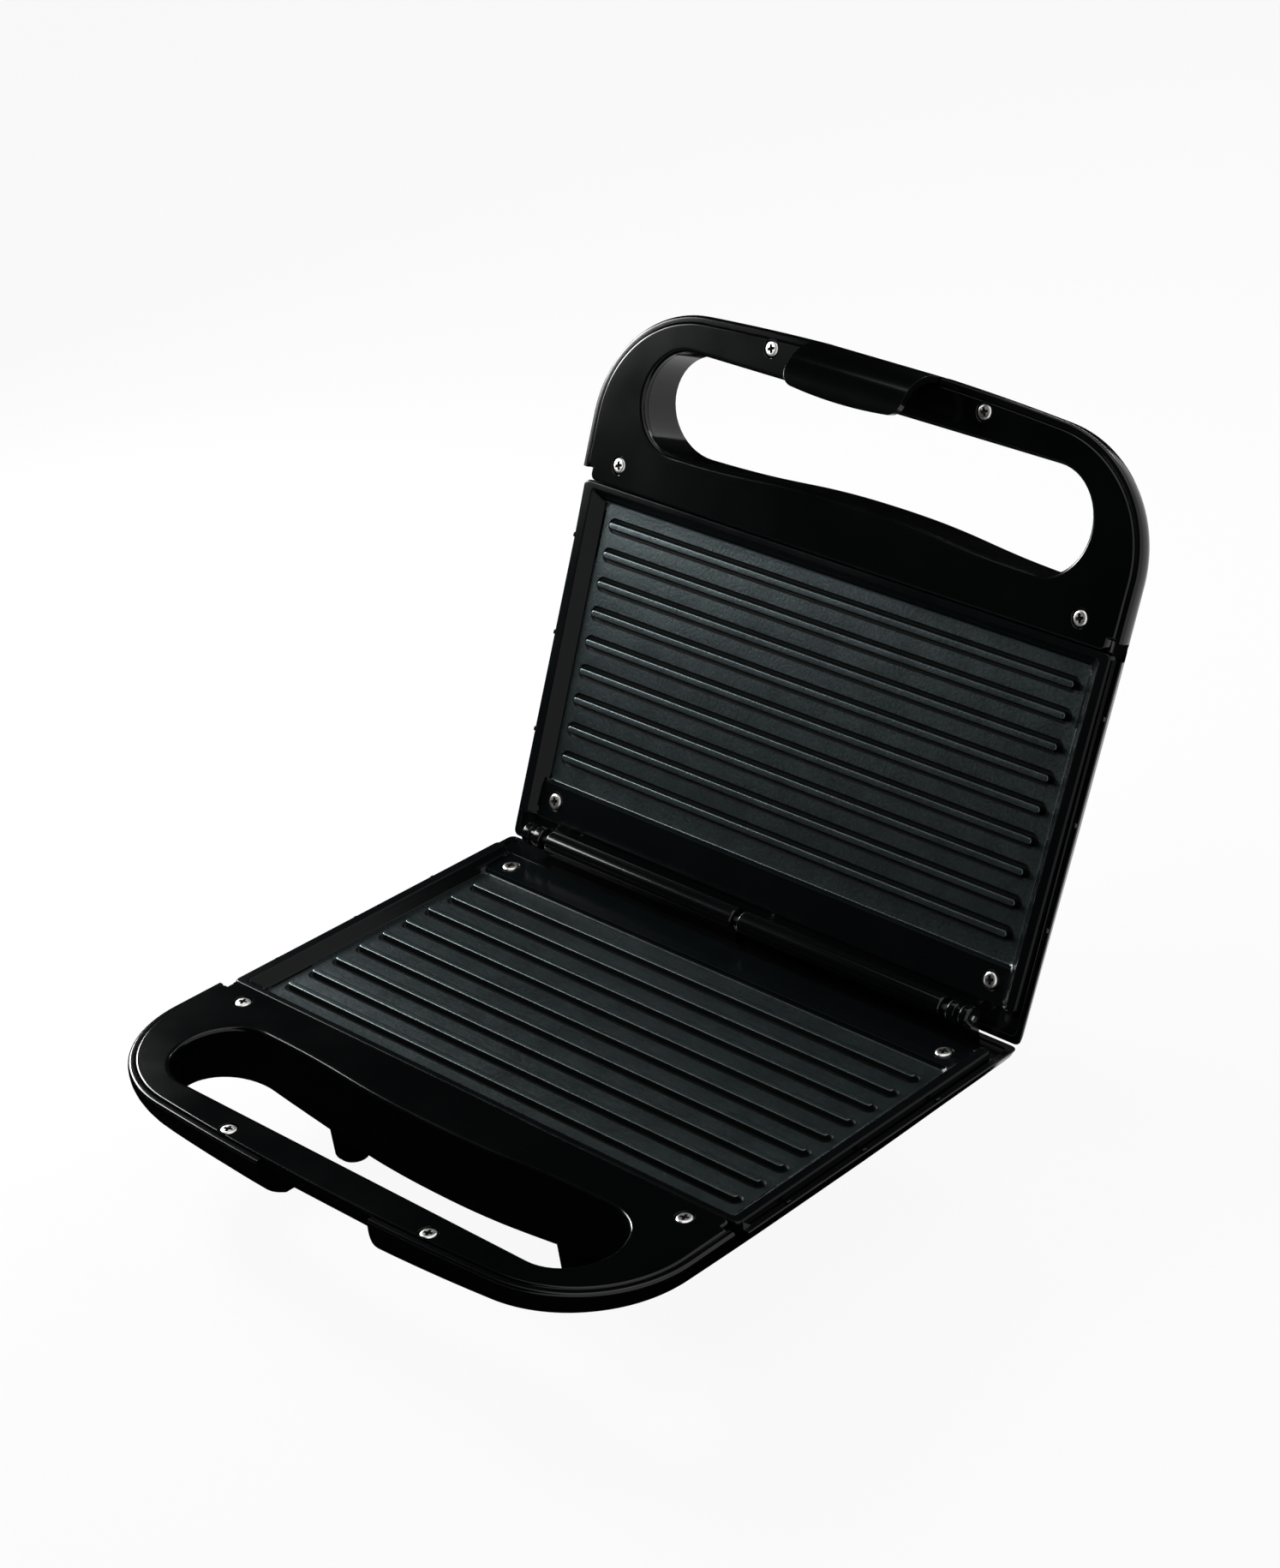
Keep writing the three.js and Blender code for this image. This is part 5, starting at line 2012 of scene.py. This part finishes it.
@dataclass
class Studio:
    """Pale floor, soft lamps, white surroundings and the camera, in the row frame in metres.

    Attributes:
        eye: Place of the camera.
        axes: Its right, its up and its back.
        lens_mm: Its focal length.
        sensor_mm: Width of its sensor.
        floor_half: Half the floor's width.
        floor_colour: Grey of the floor.
        floor_glow: White of the floor to the camera and to reflections.
        backdrop: White of the surroundings to the camera and to reflections.
        sky: Light of the surroundings on the press.
        card_colour: Grey of the black cards.
    """

    eye: Point = (0.9961, -0.893932, 0.84995)
    axes: tuple[Point, Point, Point] = (
        (0.70379, 0.70483, -0.08883), (-0.28086, 0.39093, 0.87653), (0.65253, -0.59194, 0.47309),
    )
    lens_mm: float = 119.86
    sensor_mm: float = 36.0
    floor_half: float = 8.0
    floor_colour: float = 0.85
    floor_glow: float = 0.93
    backdrop: float = 0.96
    sky: float = 0.15
    card_colour: float = 0.002

    def build(self) -> None:
        """Set up everything around the press."""
        self.floor()
        self.world()
        self.cards()
        self.lamps()
        self.camera()
        bpy.context.scene.view_settings.view_transform = "Standard"

    def floor(self) -> None:
        """Lay a wide pale floor that keeps a faint shadow."""
        shape = bmesh.new()
        bmesh.ops.create_grid(shape, x_segments=2, y_segments=2, size=self.floor_half)
        floor = put_in_scene("floor", shape)
        material = bpy.data.materials.new("pale studio floor")
        material.use_nodes = True
        tree = material.node_tree
        tree.nodes.clear()
        matt = add_node(tree, "ShaderNodeBsdfDiffuse", {"Color": grey(self.floor_colour)})
        glow = add_node(tree, "ShaderNodeEmission", {"Color": grey(1), "Strength": 1.0})
        seen = add_node(
            tree, "ShaderNodeMath", {0: self.looked_at(tree), 1: self.floor_glow}, operation="MULTIPLY"
        )
        mixed = add_node(
            tree, "ShaderNodeMixShader", {0: seen.outputs[0], 1: matt.outputs[0], 2: glow.outputs[0]}
        )
        add_node(tree, "ShaderNodeOutputMaterial", {"Surface": mixed.outputs[0]})
        floor.data.materials.append(material)

    def looked_at(self, tree: bpy.types.NodeTree) -> bpy.types.NodeSocket:
        """Tell where the camera, a reflection or a clear piece looks at the surface.

        Args:
            tree: Node tree of the floor or the world.

        Returns:
            Output that is 1 on such rays and 0 on the others.
        """
        path = add_node(tree, "ShaderNodeLightPath").outputs
        seen = path["Is Camera Ray"]
        for ray in ("Is Glossy Ray", "Is Transmission Ray"):
            seen = add_node(tree, "ShaderNodeMath", {0: seen, 1: path[ray]}, operation="MAXIMUM").outputs[0]
        return seen

    def world(self) -> None:
        """Surround the press with white where the camera looks and soft grey elsewhere."""
        world = bpy.data.worlds.new("studio")
        bpy.context.scene.world = world
        world.use_nodes = True
        tree = world.node_tree
        tree.nodes.clear()
        level = add_node(
            tree,
            "ShaderNodeMapRange",
            {"Value": self.looked_at(tree), "To Min": self.sky, "To Max": self.backdrop},
        )
        sky = add_node(
            tree, "ShaderNodeBackground", {"Color": grey(1), "Strength": level.outputs["Result"]}
        )
        add_node(tree, "ShaderNodeOutputWorld", {"Surface": sky.outputs[0]})

    def cards(self) -> None:
        """Stand black cards where gloss black would mirror the white surroundings and read as grey."""
        cloth = bpy.data.materials.new("black velvet")
        cloth.use_nodes = True
        tree = cloth.node_tree
        tree.nodes.clear()
        matt = add_node(tree, "ShaderNodeBsdfDiffuse", {"Color": grey(self.card_colour)})
        add_node(tree, "ShaderNodeOutputMaterial", {"Surface": matt.outputs[0]})
        down = (0.0, 0.0, -1.0)
        for name, place, way, reach, size in (
            ("flag for the lid", (0.0, 0.13, 0.15), (-0.65, -0.73, 0.38), 0.95, (1.8, 1.7)),
            ("flag for the base", (0.0, -0.05, 0.05), (-0.65, 0.59, 0.47), 0.95, (1.5, 1.1)),
            ("flag under the front", (-0.05, -0.21, 0.001), down, 0.0005, (0.75, 0.58)),
            ("flag on the floor", (-0.75, 0.4, 0.001), down, 0.0005, (1.1, 1.8)),
        ):
            self.card(name, Vector(place), Vector(way).normalized() * reach, size, cloth)

    def card(
        self, name: str, place: Vector, way: Vector, size: tuple[float, float], cloth: bpy.types.Material
    ) -> None:
        """Stand one black card that only reflections show.

        Args:
            name: Name of the card.
            place: Place on the press that it serves.
            way: Step from there to the card, which it stands square to.
            size: Its width and height.
            cloth: Material that covers it.
        """
        shape = bmesh.new()
        bmesh.ops.create_grid(shape, x_segments=1, y_segments=1, size=0.5)
        turn = way.to_track_quat("Z", "Y").to_matrix().to_4x4()
        middle = Matrix.Translation(place + way)
        bmesh.ops.transform(shape, matrix=middle @ turn @ Matrix.Diagonal((*size, 1, 1)), verts=shape.verts)
        card = put_in_scene(name, shape)
        card.data.materials.append(cloth)
        card.visible_camera = False
        card.visible_diffuse = False
        card.visible_shadow = False
        card.visible_transmission = False

    def lamps(self) -> None:
        """Hang the soft boxes and the strip light."""
        self.soft_box("lid box", (-0.52, -0.10, 0.36), (-0.02, 0.10, 0.14), (0.2, 0.2), 0.65)
        self.soft_box("base box", (-0.64, 0.05, 0.34), (-0.12, -0.04, 0.04), (0.16, 0.16), 0.85)
        self.soft_box("back box", (-0.15, 0.95, 0.75), (0.0, 0.05, 0.15), (0.5, 0.5), 0.2)
        self.soft_box("strip light", (-0.1, 0.62, 0.52), (0.0, 0.16, 0.23), (0.4, 0.05), 0.28)
        self.soft_box("top box", (0.0, 0.0, 1.3), (0.0, 0.0, 0.05), (0.9, 0.9), 0.1)

    def soft_box(
        self, name: str, place: Point, target: Point, size: tuple[float, float], level: float
    ) -> None:
        """Hang one soft box.

        Args:
            name: Name of the lamp.
            place: Where it hangs.
            target: Where it faces.
            size: Its width and height.
            level: Light on a face at its target, where 1 shows a colour as it is written.
        """
        way = Vector(target) - Vector(place)
        data = bpy.data.lights.new(name, "AREA")
        data.shape = "RECTANGLE"
        data.size, data.size_y = size
        data.energy = level * (math.pi * way.length) ** 2
        lamp = bpy.data.objects.new(name, data)
        lamp.location = place
        lamp.rotation_euler = way.to_track_quat("-Z", "Y").to_euler()
        bpy.context.scene.collection.objects.link(lamp)

    def camera(self) -> None:
        """Stand the camera in front, to the right and above."""
        data = bpy.data.cameras.new("camera")
        data.sensor_fit = "HORIZONTAL"
        data.sensor_width = self.sensor_mm
        data.lens = self.lens_mm
        camera = bpy.data.objects.new("camera", data)
        turn = Matrix(self.axes).transposed().to_4x4()
        camera.matrix_world = Matrix.Translation(self.eye) @ turn
        bpy.context.scene.collection.objects.link(camera)
        bpy.context.scene.camera = camera


def main() -> None:
    """Build the press and its studio in order."""
    logging.basicConfig(level=logging.INFO, format="%(name)s: %(message)s")
    Studio().build()
    dress_frame()
    for half in Half:
        housing = Housing(half)
        housing.build()
        housing.nubs()
        HandleCover(half).build()
        GrillPlate(half).build()
        for number, place in enumerate(SCREWS, 1):
            Screw(half, number, place).build()
    Latch().build()
    FootPads().build()
    HingePin().build()
    Lenses().build()
    Gland().build()


if __name__ == "__main__":
    main()
